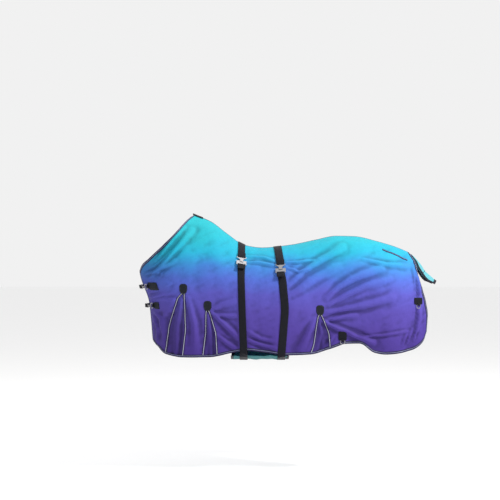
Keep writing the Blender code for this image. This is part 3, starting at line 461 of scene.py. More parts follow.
def dyed_cloth(name, depth=1.0):
    """Mesh cloth dyed from teal at the back through blue to purple at the hem, with painted shade in
    its folds and toward the chest.
    """
    made, tree, shader = node_material(name, Sheen_Weight=0.025, Sheen_Roughness=0.4,
                                       Specular_IOR_Level=0.14)
    place = texture_place(tree, "Object")
    wander = math_node(tree, "SUBTRACT", noise_texture(tree, place, 5.0, 2.0), 0.5)
    height = plus(tree, split_axes(tree, place)[2], times(tree, wander, DYE_WANDER))
    top, bottom = DYE[0][0], DYE[-1][0]
    share = math_node(tree, "DIVIDE", math_node(tree, "SUBTRACT", height, bottom), top - bottom)
    stops = [((z - bottom) / (top - bottom), scaled(colour, depth * DYE_DEPTH)) for z, colour in DYE]
    dye = colour_ramp(tree, share, stops[::-1])
    holes, _ = weave(tree, 2 * MESH_PITCH, 2 * MESH_PITCH, 0.6)
    fibre = noise_texture(tree, place, 900.0, 1.0)
    mottle = noise_texture(tree, place, 26.0, 4.0, 0.65)
    tone = plus(tree, weighted_sum(tree, holes, 0.22, mottle, 0.20), 0.74)
    # painted shade: darker in the fold valleys and toward the chest front, read from a point attribute
    painted_shade_amount = tree.nodes.new("ShaderNodeAttribute")
    painted_shade_amount.attribute_name = "painted_shade_amount"
    painted_shade = times(tree, painted_shade_amount.outputs["Fac"], -HOLLOW_SHADE)
    tone = times(tree, tone, plus(tree, painted_shade, 1.0))
    shade = tree.nodes.new("ShaderNodeMix")
    shade.data_type = "RGBA"
    shade.blend_type = "MULTIPLY"
    shade.inputs["Factor"].default_value = 1.0
    tree.links.new(dye, shade.inputs[6])
    tree.links.new(tone, shade.inputs[7])
    tree.links.new(shade.outputs[2], shader.inputs["Base Color"])
    roughness = plus(tree, times(tree, mottle, 0.16), 0.60)
    tree.links.new(roughness, shader.inputs["Roughness"])
    relief = plus(tree, holes, times(tree, fibre, 0.3))
    add_bump(tree, shader, relief, 0.35, 0.0006)
    return made


def plain_cloth(name, colour, pitch, alpha=1.0, roughness=0.75):
    made, tree, shader = node_material(name, Roughness=roughness, Specular_IOR_Level=0.16,
                                       Sheen_Weight=0.03, Alpha=alpha)
    holes, _ = weave(tree, 2 * pitch, 2 * pitch, 0.6)
    mottle = noise_texture(tree, texture_place(tree, "Object"), 30.0, 4.0)
    tone = weighted_sum(tree, holes, 0.3, mottle, 0.5)
    tint = colour_ramp(tree, tone, ((0, scaled(colour, 0.65)), (1, scaled(colour, 1.35))))
    tree.links.new(tint, shader.inputs["Base Color"])
    add_bump(tree, shader, holes, 0.4, 0.0006)
    return made


def webbing_material(name, colour, rib, stitch_rows=()):
    """Woven tape: ribs across it, and rows of stitches along it."""
    made, tree, shader = node_material(name, Roughness=0.55, Specular_IOR_Level=0.09,
                                       Sheen_Weight=0.02)
    ribs, (along, across, _) = weave(tree, 2 * rib, 3.4 * rib, 0.8)
    wear = noise_texture(tree, texture_place(tree, "Object"), 45.0, 5.0, 0.6)
    tone = weighted_sum(tree, ribs, 0.5, wear, 0.6)
    height = ribs
    for row in stitch_rows:
        away = math_node(tree, "ABSOLUTE", math_node(tree, "SUBTRACT", across, row))
        line = math_node(tree, "LESS_THAN", away, DRAWN_STITCH)
        turns = times(tree, along, 2 * math.pi / STITCH_LENGTH)
        dash = math_node(tree, "GREATER_THAN", math_node(tree, "SINE", turns), -0.35)
        thread = times(tree, line, dash)
        tone = plus(tree, tone, times(tree, thread, 0.55))
        height = plus(tree, height, thread)
    tint = colour_ramp(tree, tone, ((0, scaled(colour, 0.5)), (1, scaled(colour, 1.7, 0.002))))
    tree.links.new(tint, shader.inputs["Base Color"])
    add_bump(tree, shader, height, 0.5, 0.0007)
    return made


def metal_material(name, colour, roughness):
    made, tree, shader = node_material(name, Metallic=1.0)
    place = texture_place(tree, "Object")
    scratch = noise_texture(tree, place, 160.0, 6.0, 0.7)
    spots = noise_texture(tree, place, 38.0, 3.0)
    tint = colour_ramp(tree, spots, ((0, scaled(colour, 0.72)), (1, colour)))
    tree.links.new(tint, shader.inputs["Base Color"])
    rough = plus(tree, times(tree, scratch, 0.22), roughness)
    tree.links.new(rough, shader.inputs["Roughness"])
    add_bump(tree, shader, scratch, 0.12, 0.0004)
    return made


def reflective_material(name, bright, dull):
    """Silver reflective piping: tiny glass beads on a grey tape."""
    made, tree, shader = node_material(name, Metallic=0.25, Roughness=0.38)
    beads = tree.nodes.new("ShaderNodeTexVoronoi")
    beads.inputs["Scale"].default_value = 1500.0
    tree.links.new(texture_place(tree, "Object"), beads.inputs["Vector"])
    tint = colour_ramp(tree, beads.outputs["Distance"], ((0, bright), (1, dull)))
    tree.links.new(tint, shader.inputs["Base Color"])
    add_bump(tree, shader, beads.outputs["Distance"], 0.3, 0.0003)
    return made


LOOKS = {
    "cloth": dyed_cloth("fly_mesh_dyed"),
    # the gussets are drawn darker, at 0.72 of the panels' colour
    "gusset": dyed_cloth("gusset_mesh_dyed", 0.72),
    "flap": plain_cloth("flap_mesh", (0.10, 0.36, 0.42), 0.0022, alpha=0.86),
    "band": plain_cloth("band_mesh", (0.020, 0.130, 0.140), 0.0024),
    "tape": webbing_material("edge_tape", (0.016, 0.013, 0.042), 0.0009, (0.0025, 0.0155)),
    "seam": webbing_material("seam_tape", (0.016, 0.011, 0.050), 0.0009),
    "webbing": webbing_material("black_webbing", (0.0042, 0.0044, 0.0075), 0.0016),
    "patch": plain_cloth("patch_cloth", (0.0055, 0.008, 0.013), 0.0011, roughness=0.6),
    "thread": webbing_material("thread", (0.075, 0.080, 0.110), 0.0005),
    "trim": webbing_material("black_trim", (0.0055, 0.0055, 0.012), 0.0009),
    "nickel": metal_material("nickel_plate", (0.40, 0.39, 0.40), 0.26),
    "reflective": reflective_material("reflective_piping", (0.42, 0.43, 0.52), (0.20, 0.21, 0.28)),
    "edge_piping": reflective_material("edge_piping", (0.22, 0.24, 0.40), (0.10, 0.11, 0.20)),
}


# ---- meshes


def add_object(name, data):
    made = bpy.data.objects.new(name, data)
    scene.collection.objects.link(made)
    return made


def make_object(name, verts, faces, look, body, node=None, uvs=None, solid=0.0):
    """A smooth mesh that rides on a body, and stands for a CAD node where one is named."""
    mesh = bpy.data.meshes.new(name)
    mesh.from_pydata(np.asarray(verts).tolist(), [], faces)
    mesh.update()
    if uvs is not None:
        layer = mesh.uv_layers.new(name="cloth")
        loops = np.empty(len(mesh.loops), np.int32)
        mesh.loops.foreach_get("vertex_index", loops)
        layer.data.foreach_set("uv", np.asarray(uvs, np.float32)[loops].ravel())
    mesh.shade_smooth()
    made = add_object(name, mesh)
    mesh.materials.append(LOOKS[look])
    if solid:
        shell = made.modifiers.new("thickness", "SOLIDIFY")
        shell.thickness = solid
        shell.offset = -1.0
    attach(made, body)
    if node:
        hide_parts(node)
    return made


# The middle of the horse's body, which the cloth's outer face looks away from
BODY_CENTRE = np.array([0.10, 0.0, -0.35])


def faces_away(points, facing):
    """Whether a grid's own winding faces the given way, or away from the middle of the horse."""
    across = points[:-1, 1:] - points[:-1, :-1]
    down = points[1:, :-1] - points[:-1, :-1]
    normal = np.cross(down, across)
    way = np.asarray(facing, float) if facing is not None else points[:-1, :-1] - BODY_CENTRE
    return float((normal * way).sum()) > 0


def grid_faces(rows, columns, flip, keep=None):
    faces = []
    for i in range(rows - 1):
        for j in range(columns - 1):
            if keep is not None and not keep[i, j]:
                continue
            a, b = i * columns + j, (i + 1) * columns + j
            faces.append((a, a + 1, b + 1, b) if flip else (a, b, b + 1, a + 1))
    return faces


def grid_uvs(points):
    """UVs in metres along the two ways of a grid."""
    across = np.linalg.norm(np.diff(points, axis=1), axis=2)
    down = np.linalg.norm(np.diff(points, axis=0), axis=2)
    u = np.concatenate([np.zeros((len(points), 1)), np.cumsum(across, axis=1)], axis=1)
    v = np.concatenate([np.zeros((1, points.shape[1])), np.cumsum(down, axis=0)], axis=0)
    middle = u[len(u) // 2]
    return np.stack([np.broadcast_to(middle, u.shape), v], axis=-1).reshape(-1, 2)


def strip_uvs(points):
    """UVs in metres of a long strip whose rows run across it."""
    rows, columns = points.shape[:2]
    turned = grid_uvs(points.transpose(1, 0, 2)).reshape(columns, rows, 2)
    return turned.transpose(1, 0, 2).reshape(-1, 2)


def painted_fold_shade(height):
    """Painted shade in the folds: 0..1 where folded cloth lies lower than the cloth around it."""
    around = height.copy()
    for _ in range(30):
        padded = np.pad(around, 1, mode="edge")
        beside = padded[1:-1, :-2] + padded[1:-1, 2:]
        around = (padded[:-2, 1:-1] + padded[2:, 1:-1] + beside + 2 * around) / 6
    return np.clip((around - height) / HOLLOW_DEPTH, 0, 1)


def grid_object(name, points, look, body, node=None, keep=None, solid=CLOTH, uvs=None,
                folded=None, facing=None):
    """A shell of cloth over a grid of points, with its folds' heights for the painted shade in them,
    and painted shade toward the chest.
    """
    rows, columns = points.shape[:2]
    uvs = grid_uvs(points) if uvs is None else uvs
    faces = grid_faces(rows, columns, flip=not faces_away(points, facing), keep=keep)
    used = sorted({i for face in faces for i in face})
    renumber = {old: new for new, old in enumerate(used)}
    faces = [tuple(renumber[i] for i in face) for face in faces]
    made = make_object(name, points.reshape(-1, 3)[used], faces, look, body, node,
                       np.asarray(uvs)[used], solid)
    if folded is not None:
        shade = made.data.attributes.new("painted_shade_amount", "FLOAT", "POINT")
        # painted shade toward the chest front, kept with the painted fold shade
        ahead = (CHEST_SHADE_FROM - points[..., 0] / LONG) / CHEST_SHADE_RUN
        painted_shade = np.clip(ahead, 0, 1) * CHEST_PAINTED_SHADE
        value = np.maximum(painted_fold_shade(folded), painted_shade)
        shade.data.foreach_set("value", value.ravel()[used].astype(np.float32))
    return made


def surface_area(points):
    a = points[1:, :-1] - points[:-1, :-1]
    b = points[:-1, 1:] - points[:-1, :-1]
    return float(np.linalg.norm(np.cross(a, b), axis=-1).sum())


def tube_object(name, line, radius, look):
    """A round cord along a line of points on the sheet."""
    sides = 8
    along = np.gradient(line, axis=0)
    along /= np.linalg.norm(along, axis=1, keepdims=True)
    guide = np.array([0.0, 1.0, 0.0]) if abs(along[:, 1]).mean() < 0.7 else np.array([0.0, 0.0, 1.0])
    side = np.cross(along, guide)
    side /= np.linalg.norm(side, axis=1, keepdims=True)
    up = np.cross(side, along)
    turns = np.linspace(0, 2 * math.pi, sides, endpoint=False)
    rings = (line[:, None] + radius * (np.cos(turns)[None, :, None] * side[:, None]
             + np.sin(turns)[None, :, None] * up[:, None]))
    last = (len(line) - 1) * sides
    faces = []
    for start in range(0, last, sides):
        for k in range(sides):
            here, beside = start + k, start + (k + 1) % sides
            faces.append((here, beside, beside + sides, here + sides))
    faces.append(tuple(range(sides)))
    faces.append(tuple(range(last, last + sides))[::-1])
    make_object(name, rings.reshape(-1, 3), faces, look, "sheet")


# ---- side panels and gussets

PANEL_COLUMNS = np.concatenate([np.linspace(0, 0.3, 16) ** 2, np.linspace(0.095, 1, 210)])
PANEL_ROWS = np.concatenate([np.linspace(0, 0.28, 12) ** 2, np.linspace(0.086, 1, 116)])


def panel_grid():
    """Drawn (x, z) of the panel's cloth, which stops under the tapes."""
    coarse = np.linspace(0, 1, 60)
    inset = BINDING_WIDTH - TUCK
    v_neck = share_inside(inset, coarse, "top")
    v_spine = share_inside(SPINE_TAPE_WIDTH / 2 - TUCK, coarse, "top")
    v_top = np.interp(PANEL_COLUMNS, coarse, np.where(coarse < NECK_SHARE + 0.004, v_neck, v_spine))
    v_hem = np.interp(PANEL_COLUMNS, coarse, share_inside(inset, coarse, "hem"))
    u_front = np.interp(PANEL_ROWS, coarse, share_inside(inset + FRONT_GAP / 2, coarse, "front"))
    u_rear = np.interp(PANEL_ROWS, coarse, share_inside(inset, coarse, "rear"))
    u = u_front[:, None] + (u_rear - u_front)[:, None] * PANEL_COLUMNS[None, :]
    v = v_top[None, :] + (v_hem - v_top)[None, :] * PANEL_ROWS[:, None]
    return side_view(u, v)


def in_gusset(x, z, ease):
    inside = np.zeros(x.shape, bool)
    for _, front, rear in GUSSETS.values():
        left, right = seam_x(front, z) + ease, seam_x(rear, z) - ease
        inside |= (z < front[0][1] - ease) & (x > left) & (x < right)
    return inside


def build_panels():
    flat = panel_grid()
    x, z = flat[..., 0], flat[..., 1]
    middle_x = (x[1:, 1:] + x[:-1, :-1]) / 2
    middle_z = (z[1:, 1:] + z[:-1, :-1]) / 2
    keep = ~in_gusset(middle_x, middle_z, 0.003)
    uvs = grid_uvs(on_sheet(x, z, OFF))
    return {name: grid_object(f"{name}_panel_cloth", cloth_points(x, z, side, CLOTH), "cloth",
                              "sheet", f"{name}_side_panel", keep, uvs=uvs,
                              folded=folds(x, z, side))
            for name, side in SIDES.items()}


def hem_height():
    """A function from x to the height of the cloth's edge under the hem tape."""
    u = np.linspace(0.01, 0.99, 160)
    flat = side_view(u, share_inside(BINDING_WIDTH - TUCK, u, "hem"))
    return lambda x: np.interp(x, flat[:, 0], flat[:, 1])


def gusset_places(front, rear, foot_line):
    """Drawn (x, z) of a gusset's grid, and its shares across and down."""
    t, s = np.linspace(0, 1, 46)[:, None], np.linspace(0, 1, 18)[None, :]
    foot = np.full_like(s, HEM_LINE[3][1])
    for _ in range(4):
        foot = foot_line(seam_x(front, foot) + (seam_x(rear, foot) - seam_x(front, foot)) * s)
    z = front[0][1] + (foot - front[0][1]) * t
    x = seam_x(front, z) + (seam_x(rear, z) - seam_x(front, z)) * s
    return x, z, s, t


SEAM_HALF = 0.0075
FULLNESS = 1.06  # a gusset's cut against the gap it fills


def build_gussets():
    """Each gusset is fuller than the gap it fills, so it hangs in two soft folds."""
    foot_line = hem_height()
    made = {name: [] for name in SIDES}
    for name, side in SIDES.items():
        for where, (_, front, rear) in GUSSETS.items():
            x, z, s, t = gusset_places(front, rear, foot_line)
            wide = (s * (1 - s) * 4) ** 0.7
            full = wide * t * (0.0035 * np.sin(s * 15.0 + side) - 0.0015)
            shape = cloth_points(x, z, side, CLOTH + full)
            piece = grid_object(f"{name}_{where}_gusset_cloth", shape, "gusset", "sheet",
                                f"{name}_{where}_gusset",
                                folded=folds(x, z, side) + full)
            smooth = on_sheet(x, z, side)
            tall = np.linalg.norm(smooth[-1, 0] - smooth[0, 0])
            foot = np.linalg.norm(smooth[-1, -1] - smooth[-1, 0])
            area = surface_area(smooth) * FULLNESS
            made[name].append((piece, (round(foot * FULLNESS, 3), round(tall, 3)), area))
            build_gusset_seams(f"{name}_{where}", front, rear, side, foot_line)
    return made


def build_gusset_seams(name, front, rear, side, foot_line):
    """Silver piping in both seams, on a dark seam tape."""
    patch = GUSSETS[name.split("_")[1]][0]
    for which, seam, way in (("front", front, -1), ("rear", rear, 1)):
        start = seam[0][1]
        end = -0.66
        for _ in range(4):
            end = float(foot_line(seam_x(seam, end)))
        z = np.linspace(start + 0.004, end, 44)
        x = seam_x(seam, z)
        z = np.concatenate([[patch[1] - 0.026], z])
        x = np.concatenate([[patch[0] + way * 0.007], x])
        for _ in range(8):
            x[1:-1] = (x[:-2] + x[1:-1] * 2 + x[2:]) / 4
            z[1:-1] = (z[:-2] + z[1:-1] * 2 + z[2:]) / 4
        line = cloth_points(x, z, side, CLOTH + 0.0022)
        tube_object(f"{name}_gusset_{which}_piping", line, PIPING_RADIUS, "reflective")
        offsets = np.linspace(-SEAM_HALF, SEAM_HALF, 6)
        bulge = CLOTH + 0.0012 - (offsets / SEAM_HALF) ** 2 * 0.0006
        strip = cloth_points(x[:, None] + offsets[None, :], z[:, None] + 0 * offsets, side,
                             np.broadcast_to(bulge, (len(z), 6)))
        grid_object(f"{name}_gusset_{which}_seam", strip, "seam", "sheet", solid=0.0008)


# ---- tapes at the edges


def taped_edge(name, inner, outer, side, node, piping_at):
    """A folded tape between two lines of (u, v), with silver piping along it."""
    k = np.linspace(0, 1, 8)
    flat = side_view(*(inner[:, i][:, None] * (1 - k) + outer[:, i][:, None] * k for i in (0, 1)))
    crown = 0.0021 + 0.0011 * np.sin(np.pi * np.clip(k * 1.1, 0, 1))
    x, z = flat[..., 0], flat[..., 1]
    lift = np.broadcast_to(crown, x.shape) + folds(x, z, side)
    points = on_sheet(x, z, side, lift)
    points[..., 1] = side * np.maximum(side * points[..., 1], FRONT_GAP / 2)
    tape = grid_object(name, points, "tape", "sheet", node, solid=0.0028,
                       uvs=strip_uvs(points))
    px, pz, place = (np.array([np.interp(piping_at, k, row) for row in rows])
                     for rows in (x, z, lift))
    line = on_sheet(px, pz, side, place + 0.0004)
    line[:, 1] = side * np.maximum(side * line[:, 1], FRONT_GAP / 2 + 0.002)
    tube_object(name.replace("tape", "piping"), line, EDGE_PIPING_RADIUS, "edge_piping")
    return tape


def build_edge_tapes():
    """One tape along the neck edge, and one down the front, along the hem and up the rear."""
    made = {}
    start = share_inside(FRONT_GAP / 2, [0.0], "front")[0]
    stop = NECK_SHARE - 0.002
    u = start + (stop - start) * (np.linspace(0, NECK_SHARE, 70) / NECK_SHARE)
    neck_in = np.stack([u, share_inside(BINDING_WIDTH, u, "top")], axis=-1)
    neck_out = np.stack([u, np.zeros_like(u)], axis=-1)
    down = np.linspace(share_inside(BINDING_WIDTH, [0.0], "top")[0], 1, 40)
    along_start = share_inside(BINDING_WIDTH + FRONT_GAP / 2, [1.0], "front")[0]
    along_end = share_inside(BINDING_WIDTH, [1.0], "rear")[0]
    along = np.linspace(along_start, along_end, 220)
    up = np.linspace(1, 0.012, 70)
    front_in = np.stack([share_inside(BINDING_WIDTH + FRONT_GAP / 2, down, "front"), down], axis=-1)
    front_out = np.stack([share_inside(FRONT_GAP / 2, down, "front"), down], axis=-1)
    hem_in = np.stack([along, share_inside(BINDING_WIDTH, along, "hem")], axis=-1)
    hem_out = np.stack([np.interp(along, (along_start, along_end), (front_out[-1, 0], 1.0)),
                        np.ones_like(along)], axis=-1)
    rear_in = np.stack([share_inside(BINDING_WIDTH, up, "rear"), up], axis=-1)
    rear_out = np.stack([np.ones_like(up), up], axis=-1)
    front_in[-1], rear_in[0] = hem_in[0], hem_in[-1]
    inner = np.concatenate([front_in[:-1], hem_in, rear_in[1:]])
    outer = np.concatenate([front_out[:-1], hem_out, rear_out[1:]])
    for name, side in SIDES.items():
        made[name] = [
            taped_edge(f"{name}_neck_tape", neck_in, neck_out, side, f"{name}_neck_binding", 0.5),
            taped_edge(f"{name}_hem_tape", inner, outer, side, f"{name}_hem_binding", 0.45),
        ]
    return made


def drop_for_width(x, y):
    """How far below the back line the sheet is this far from the centre plane."""
    drops = np.linspace(0, 1, 200) ** 2 * 0.05
    widths = half_width(np.full_like(drops, x), back_z(x) - drops) * WIDE
    return float(np.interp(y, widths, drops))


def over_back(x, across, lift):
    """A grid astride the back line, lifted straight up."""
    drop = np.array([[drop_for_width(place, abs(y)) for y in across] for place in x])
    z = back_z(x)[:, None] - drop
    grid = np.stack([np.broadcast_to(x[:, None] * LONG, z.shape),
                     np.broadcast_to(across, z.shape), z * TALL], axis=-1)
    grid[..., 2] += lift
    return grid


def build_spine():
    x = np.linspace(NECK_EDGE[-1][0] - 0.004, REAR_EDGE[0][0], 150)
    across = np.linspace(-SPINE_TAPE_WIDTH / 2, SPINE_TAPE_WIDTH / 2, 9)
    crown = 0.0026 + 0.0006 * np.cos(across / across[-1] * math.pi / 2)
    grid = over_back(x, across, crown[None, :])
    grid_object("spine_tape", grid, "seam", "sheet", "spine_binding", solid=0.002,
                uvs=strip_uvs(grid))


# ---- pieces refined from their CAD solids


def refined(name, node, look, body):
    """A finer copy of a CAD ribbon or patch, smooth along its run and crisp at its edges."""
    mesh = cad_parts[node].data.copy()
    mesh.name = name
    shape = bmesh.new()
    shape.from_mesh(mesh)
    bmesh.ops.remove_doubles(shape, verts=shape.verts, dist=1e-6)
    bmesh.ops.join_triangles(shape, faces=shape.faces, angle_face_threshold=math.radians(25),
                             angle_shape_threshold=math.radians(60))
    crease = shape.edges.layers.float.new("crease_edge")
    for edge in shape.edges:
        if len(edge.link_faces) == 2 and edge.calc_face_angle() > math.radians(50):
            edge[crease] = 0.85
    uv = shape.loops.layers.uv.verify()
    for face in shape.faces:
        for loop in face.loops:
            at = loop.vert.co
            loop[uv].uv = (at.z + at.y * 0.6, at.x)
    shape.to_mesh(mesh)
    shape.free()
    mesh.materials.clear()
    mesh.materials.append(LOOKS[look])
    mesh.shade_smooth()
    made = add_object(name, mesh)
    finer = made.modifiers.new("finer", "SUBSURF")
    finer.levels = finer.render_levels = 2
    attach(made, body)
    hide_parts(node)
    return made


# ---- belly band and tail flap

BAND_FOOT_X = (BAND_CENTRE_X + np.linspace(-0.5, 0.5, 9) * BAND_LENGTH) / LONG
BAND_REACH = float(half_width(BAND_FOOT_X, np.full(9, -0.66)).min()) * WIDE - BAND_INSET
UP = (0.0, 0.0, 1.0)


def band_z(y):
    share = np.asarray(y) / BAND_REACH
    return BAND_Z * TALL + BAND_TILT * share - BAND_SAG * (1 - share**2)


def band_points(x, y, lift):
    x, y, lift = np.broadcast_arrays(x, y, lift)
    slope = -(band_z(y + 1e-4) - band_z(y - 1e-4)) / 2e-4
    normal = np.stack([0 * slope, slope, np.ones_like(slope)], axis=-1)
    normal /= np.linalg.norm(normal, axis=-1, keepdims=True)
    return np.stack([x, y, band_z(y)], axis=-1) + normal * lift[..., None]


def band_folds(x, y):
    along = (x - BAND_CENTRE_X) / BAND_LENGTH
    dips = 0.0020 * np.sin(along * 17 + y * 7) + 0.0014 * np.sin(along * 31 - y * 11)
    free = np.clip((BAND_LENGTH / 2 - np.abs(x - BAND_CENTRE_X)) / 0.05, 0, 1)
    return (dips + 0.0010 * soft_noise(x, y, 0.05, 4.0)) * free


def build_belly_band():
    y = np.linspace(-BAND_REACH, BAND_REACH, 90)[:, None]
    front, rear = (BAND_CENTRE_X + way * BAND_LENGTH / 2 for way in (-1, 1))
    inset = BINDING_WIDTH - TUCK
    x = np.linspace(front + inset, rear - inset, 110)[None, :]
    x, y_all = np.broadcast_arrays(x, y)
    shape = band_points(x, y_all, CLOTH + band_folds(x, y_all))
    band = grid_object("belly_band_cloth", shape, "band", "belly_band", "belly_band",
                       facing=UP)
    for name, edge, way in (("front", front, 1), ("rear", rear, -1)):
        across = np.linspace(0, BINDING_WIDTH, 8)
        crown = 0.0021 + 0.0007 * np.sin(across / BINDING_WIDTH * math.pi)
        place = np.broadcast_to(edge + way * across, (len(y), len(across)))
        grid = band_points(place, np.broadcast_to(y, place.shape), crown[None, :])
        grid_object(f"belly_band_{name}_tape", grid, "trim", "belly_band",
                    f"belly_band_{name}_binding", solid=0.0025,
                    uvs=strip_uvs(grid), facing=UP)


flap_crest = smooth_path(((0.968, -0.040), (1.015, -0.088), (1.066, -0.160), (1.130, -0.214)))


def flap_point(t, share, lift):
    """A point on the tail flap: t down its length, share across its half width."""
    t, share, lift = np.broadcast_arrays(np.asarray(t, float), np.asarray(share, float), lift)
    middle = flap_crest(t)
    along = flap_crest(np.clip(t + 0.01, 0, 1)) - flap_crest(np.clip(t - 0.01, 0, 1))
    along /= np.linalg.norm(along, axis=-1, keepdims=True)
    out = np.stack([-along[..., 1], along[..., 0]], axis=-1)
    half = FLAP_WIDTH / 2 * np.interp(t, (0, 0.35, 0.8, 1), (0.30, 0.85, 1.0, 0.8))
    y = half * share
    sink = 0.042 * (y / (FLAP_WIDTH / 2)) ** 2
    flat = middle + out * (lift - sink)[..., None]
    return np.stack([flat[..., 0] * LONG, y, flat[..., 1] * TALL], axis=-1)


def flap_folds(t, s):
    return 0.0016 * np.sin(s * 6 + 3 * t) * t + 0.0008 * np.sin(t * 19 + s * 4)


def flap_strip(t, s, lift):
    return flap_point(t, s, lift + flap_folds(t, s))


def build_tail_flap():
    edge = BINDING_WIDTH / FLAP_LENGTH
    side = 1 - 2 * (BINDING_WIDTH - TUCK) / FLAP_WIDTH
    t = np.linspace(0.01, 1 - edge * 0.85, 70)[:, None]
    s = np.linspace(-side, side, 60)[None, :]
    flap = grid_object("tail_flap_cloth", flap_strip(t, s, CLOTH), "flap", "tail_flap", "tail_flap")
    inner_side = 1 - 2 * BINDING_WIDTH / FLAP_WIDTH
    down = np.linspace(0.01, 1 - edge, 40)
    around = np.linspace(-1, 1, 50)

    def rim(down, foot, half):
        """Down one side of the flap, round its foot and up the other side."""
        return np.concatenate([np.stack([down, 0 * down - half], -1),
                               np.stack([0 * around + foot, around * half], -1)[1:-1],
                               np.stack([down, 0 * down + half], -1)[::-1]])

    inner, outer = rim(down, 1 - edge, inner_side), rim(down / (1 - edge), 1.0, 1.0)
    k = np.linspace(0, 1, 7)[None, :, None]
    places = inner[:, None] * (1 - k) + outer[:, None] * k
    crown = 0.0020 + 0.0008 * np.sin(np.linspace(0, math.pi, 7))
    grid = flap_strip(places[..., 0], places[..., 1], crown[None, :])
    grid_object("tail_flap_tape", grid, "trim", "tail_flap", "tail_flap_binding", solid=0.0025,
                uvs=strip_uvs(grid))
    seam = flap_strip(np.linspace(0.575, 0.585, 4)[:, None], np.linspace(-side, side, 40)[None, :],
                      CLOTH + 0.0009)
    grid_object("tail_flap_cross_seam", seam, "trim", "tail_flap", solid=0.0008)


# ---- patches and their stitching


# Outline of a gusset patch, from its top to its foot: half widths as shares
SHIELD = ((-1.0, 0.42), (-0.86, 0.80), (-0.6, 1.0), (0.1, 1.0), (0.55, 0.82), (0.86, 0.40), (1.0, 0.06))


def cushion(rows, columns, rim):
    """0 at the edges of a grid, rising to 1 within this share of its half width."""
    across, down = (1 - np.abs(np.linspace(-1, 1, count)) for count in (columns, rows))
    return np.clip(np.minimum(across[None, :], down[:, None]) / rim, 0, 1)


def patch_piece(name, x, z, side, node):
    """A shield-shaped cloth patch on the side."""
    t, s = np.linspace(-1, 1, 26)[:, None], np.linspace(-1, 1, 20)[None, :]
    px = x + s * np.interp(t, *zip(*SHIELD)) * GUSSET_PATCH_WIDTH / 2
    pz = z - t * GUSSET_PATCH_HEIGHT / 2 + 0 * s
    grid = cloth_points(px, pz, side, 0.0034 + 0.0008 * cushion(26, 20, 0.15))
    grid_object(name, grid, "patch", "sheet", node, solid=0.0015)


def stitch_row(name, line):
    """Thread dashes along a line of points, each a spindle of four sides."""
    along = run_along(line)
    verts, faces = [], []
    ring = [(1, 0), (0, 1), (-1, 0), (0, -1)]
    for start in np.arange(0, along[-1] - STITCH_LENGTH * 0.7, STITCH_LENGTH):
        places = [start + k * STITCH_LENGTH * 0.68 for k in (0.0, 0.5, 1.0)]
        ends = [np.array([np.interp(place, along, line[:, i]) for i in range(3)]) for place in places]
        way = unit(ends[2] - ends[0])
        up = unit(np.cross(way, [0.0, 1.0, 0.013]))
        out = np.cross(up, way)
        base = len(verts)
        for place, swell in zip(ends, (0.35, 1.0, 0.35)):
            verts += [place + STITCH_RADIUS * swell * (a * up + b * out) for a, b in ring]
        for level in range(2):
            for k in range(4):
                a, b = base + level * 4 + k, base + level * 4 + (k + 1) % 4
                faces.append((a, b, b + 4, a + 4))
        faces += [tuple(base + k for k in (3, 2, 1, 0)), tuple(base + 8 + k for k in range(4))]
    make_object(name, verts, faces, "thread", "sheet")


def outline_stitches(name, x, z, side):
    """A row of stitches just inside the outline of a patch."""
    t = np.linspace(-1, 1, 40)
    half = np.interp(t, *zip(*SHIELD)) * 0.80 * GUSSET_PATCH_WIDTH / 2
    height = z - t * 0.88 * GUSSET_PATCH_HEIGHT / 2
    left, right = np.stack([x - half, height], -1), np.stack([x + half, height], -1)[::-1]
    ring = np.concatenate([left, right, left[:1]])
    stitch_row(name, cloth_points(ring[:, 0], ring[:, 1], side, 0.0046))


def build_patches():
    for name, side in SIDES.items():
        for where, ((x, z), _, _) in GUSSETS.items():
            patch_piece(f"{name}_{where}_patch_cloth", x, z, side, f"{name}_{where}_gusset_patch")
            outline_stitches(f"{name}_{where}_patch_stitches", x, z, side)


def build_wither_patch():
    x = np.linspace(-0.448, -0.383, 26)
    across = np.linspace(-0.022, 0.022, 19)
    grid = over_back(x, across, 0.0072 + 0.0010 * cushion(26, 19, 0.2))
    grid_object("wither_patch_cloth", grid, "patch", "sheet", "wither_patch", solid=0.002)


def build_rump_darts():
    path = smooth_path(((0.770, -0.010), (0.845, -0.042), (0.930, -0.078)))
    centre = path(np.linspace(0, 1, 50))
    half = 0.0045
    across = np.linspace(half, -half, 6)
    bulge = 0.0030 + 0.0004 * np.cos(across / half * math.pi / 2)
    for name, side in SIDES.items():
        grid = cloth_points(centre[:, :1] + 0 * across, centre[:, 1:] + across, side,
                            np.broadcast_to(bulge, (50, 6)))
        grid_object(f"{name}_rump_dart_seam", grid, "seam", "sheet", f"{name}_rump_dart_tape",
                    solid=0.0012)
        line = cloth_points(centre[:, 0], centre[:, 1], side, 0.0040)
        tube_object(f"{name}_rump_dart_piping", line, EDGE_PIPING_RADIUS * 0.8, "edge_piping")


def build_straps():
    for where in SURCINGLES:
        refined(f"{where}_surcingle_webbing", f"{where}_surcingle", "webbing", "sheet")
        refined(f"{where}_girth_webbing", f"{where}_girth_strap", "webbing", "belly_band")
    for level in CHEST_LEVELS:
        refined(f"{level}_chest_webbing", f"{level}_chest_strap", "webbing", "sheet")
        for name in SIDES:
            node = f"{name}_{level}_chest_patch"
            refined(f"{node}_cloth", node, "patch", "sheet")
    for name in SIDES:
        for where in LEG_PATCHES:
            node = f"{name}_{where}_leg_patch"
            refined(f"{node}_webbing", node, "webbing", "sheet")


METAL_WORDS = ("_hook", "clip_plate", "_ring", "snap_", "adjuster")


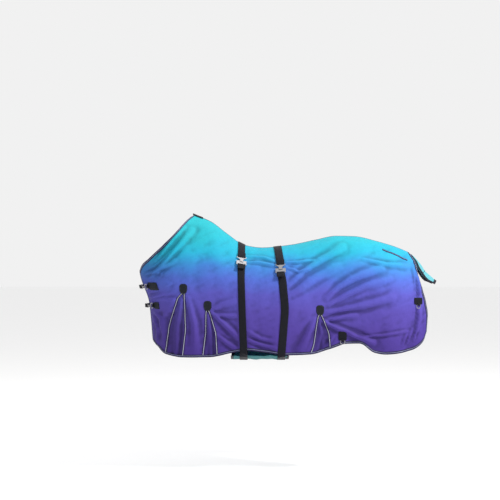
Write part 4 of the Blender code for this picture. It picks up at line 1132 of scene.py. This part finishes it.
def finish_metal():
    """The plated pieces keep their CAD shape, with their edges rounded."""
    for node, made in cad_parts.items():
        if not any(word in node for word in METAL_WORDS):
            continue
        made.data.materials.clear()
        made.data.materials.append(LOOKS["nickel"])
        made.data.shade_smooth()
        soft = made.modifiers.new("rounded", "BEVEL")
        soft.width = 0.0006
        soft.segments = 3
        soft.limit_method = "ANGLE"
        soft.angle_limit = math.radians(35)
        soft.harden_normals = True


# ---- the whole sheet

panels = build_panels()
gussets = build_gussets()
tapes = build_edge_tapes()
build_spine()
build_patches()
build_wither_patch()
build_rump_darts()
build_belly_band()
build_tail_flap()
build_straps()
finish_metal()


# ---- floor, light and camera

FLOOR_Z = -1.46
FLOOR_REACH = 45.0


def place_light(name, location, aim, size, power, colour=(1, 1, 1)):
    light = bpy.data.lights.new(name, "AREA")
    light.shape = "RECTANGLE"
    light.size, light.size_y = size
    light.energy = power
    light.color = colour
    made = add_object(name, light)
    made.location = location
    made.rotation_euler = (Vector(aim) - Vector(location)).to_track_quat("-Z", "Y").to_euler()


def build_stage():
    floor_mesh = bpy.data.meshes.new("floor")
    corners = ((-1, -1), (1, -1), (1, 1), (-1, 1))
    floor_mesh.from_pydata([(FLOOR_REACH * a, FLOOR_REACH * b, 0) for a, b in corners],
                           [], [(0, 1, 2, 3)])
    floor = add_object("floor", floor_mesh)
    floor.location = (0, 0, FLOOR_Z)
    made, _, _ = node_material("floor", Base_Color=(0.96, 0.96, 0.96, 1), Roughness=0.9)
    floor_mesh.materials.append(made)
    world = bpy.data.worlds.new("studio")
    world.use_nodes = True
    backdrop = world.node_tree.nodes["Background"]
    backdrop.inputs["Color"].default_value = (1.0, 1.0, 1.0, 1)
    backdrop.inputs["Strength"].default_value = 0.88
    scene.world = world
    place_light("key", (4.2, -2.6, 3.6), (0.1, 0, -0.2), (0.9, 0.9), 470, (1.0, 0.985, 0.96))
    place_light("top", (0.2, 0.9, 4.5), (0.1, 0, 0), (3.0, 2.0), 90)


build_stage()

eye = bpy.data.cameras.new("camera")
eye.lens = 99.7
eye.clip_end = 150
camera = add_object("camera", eye)
camera.location = (-0.078, -9.0, -0.013)
camera.rotation_euler = (math.radians(90), 0, 0)
scene.camera = camera
scene.view_settings.view_transform = "Standard"
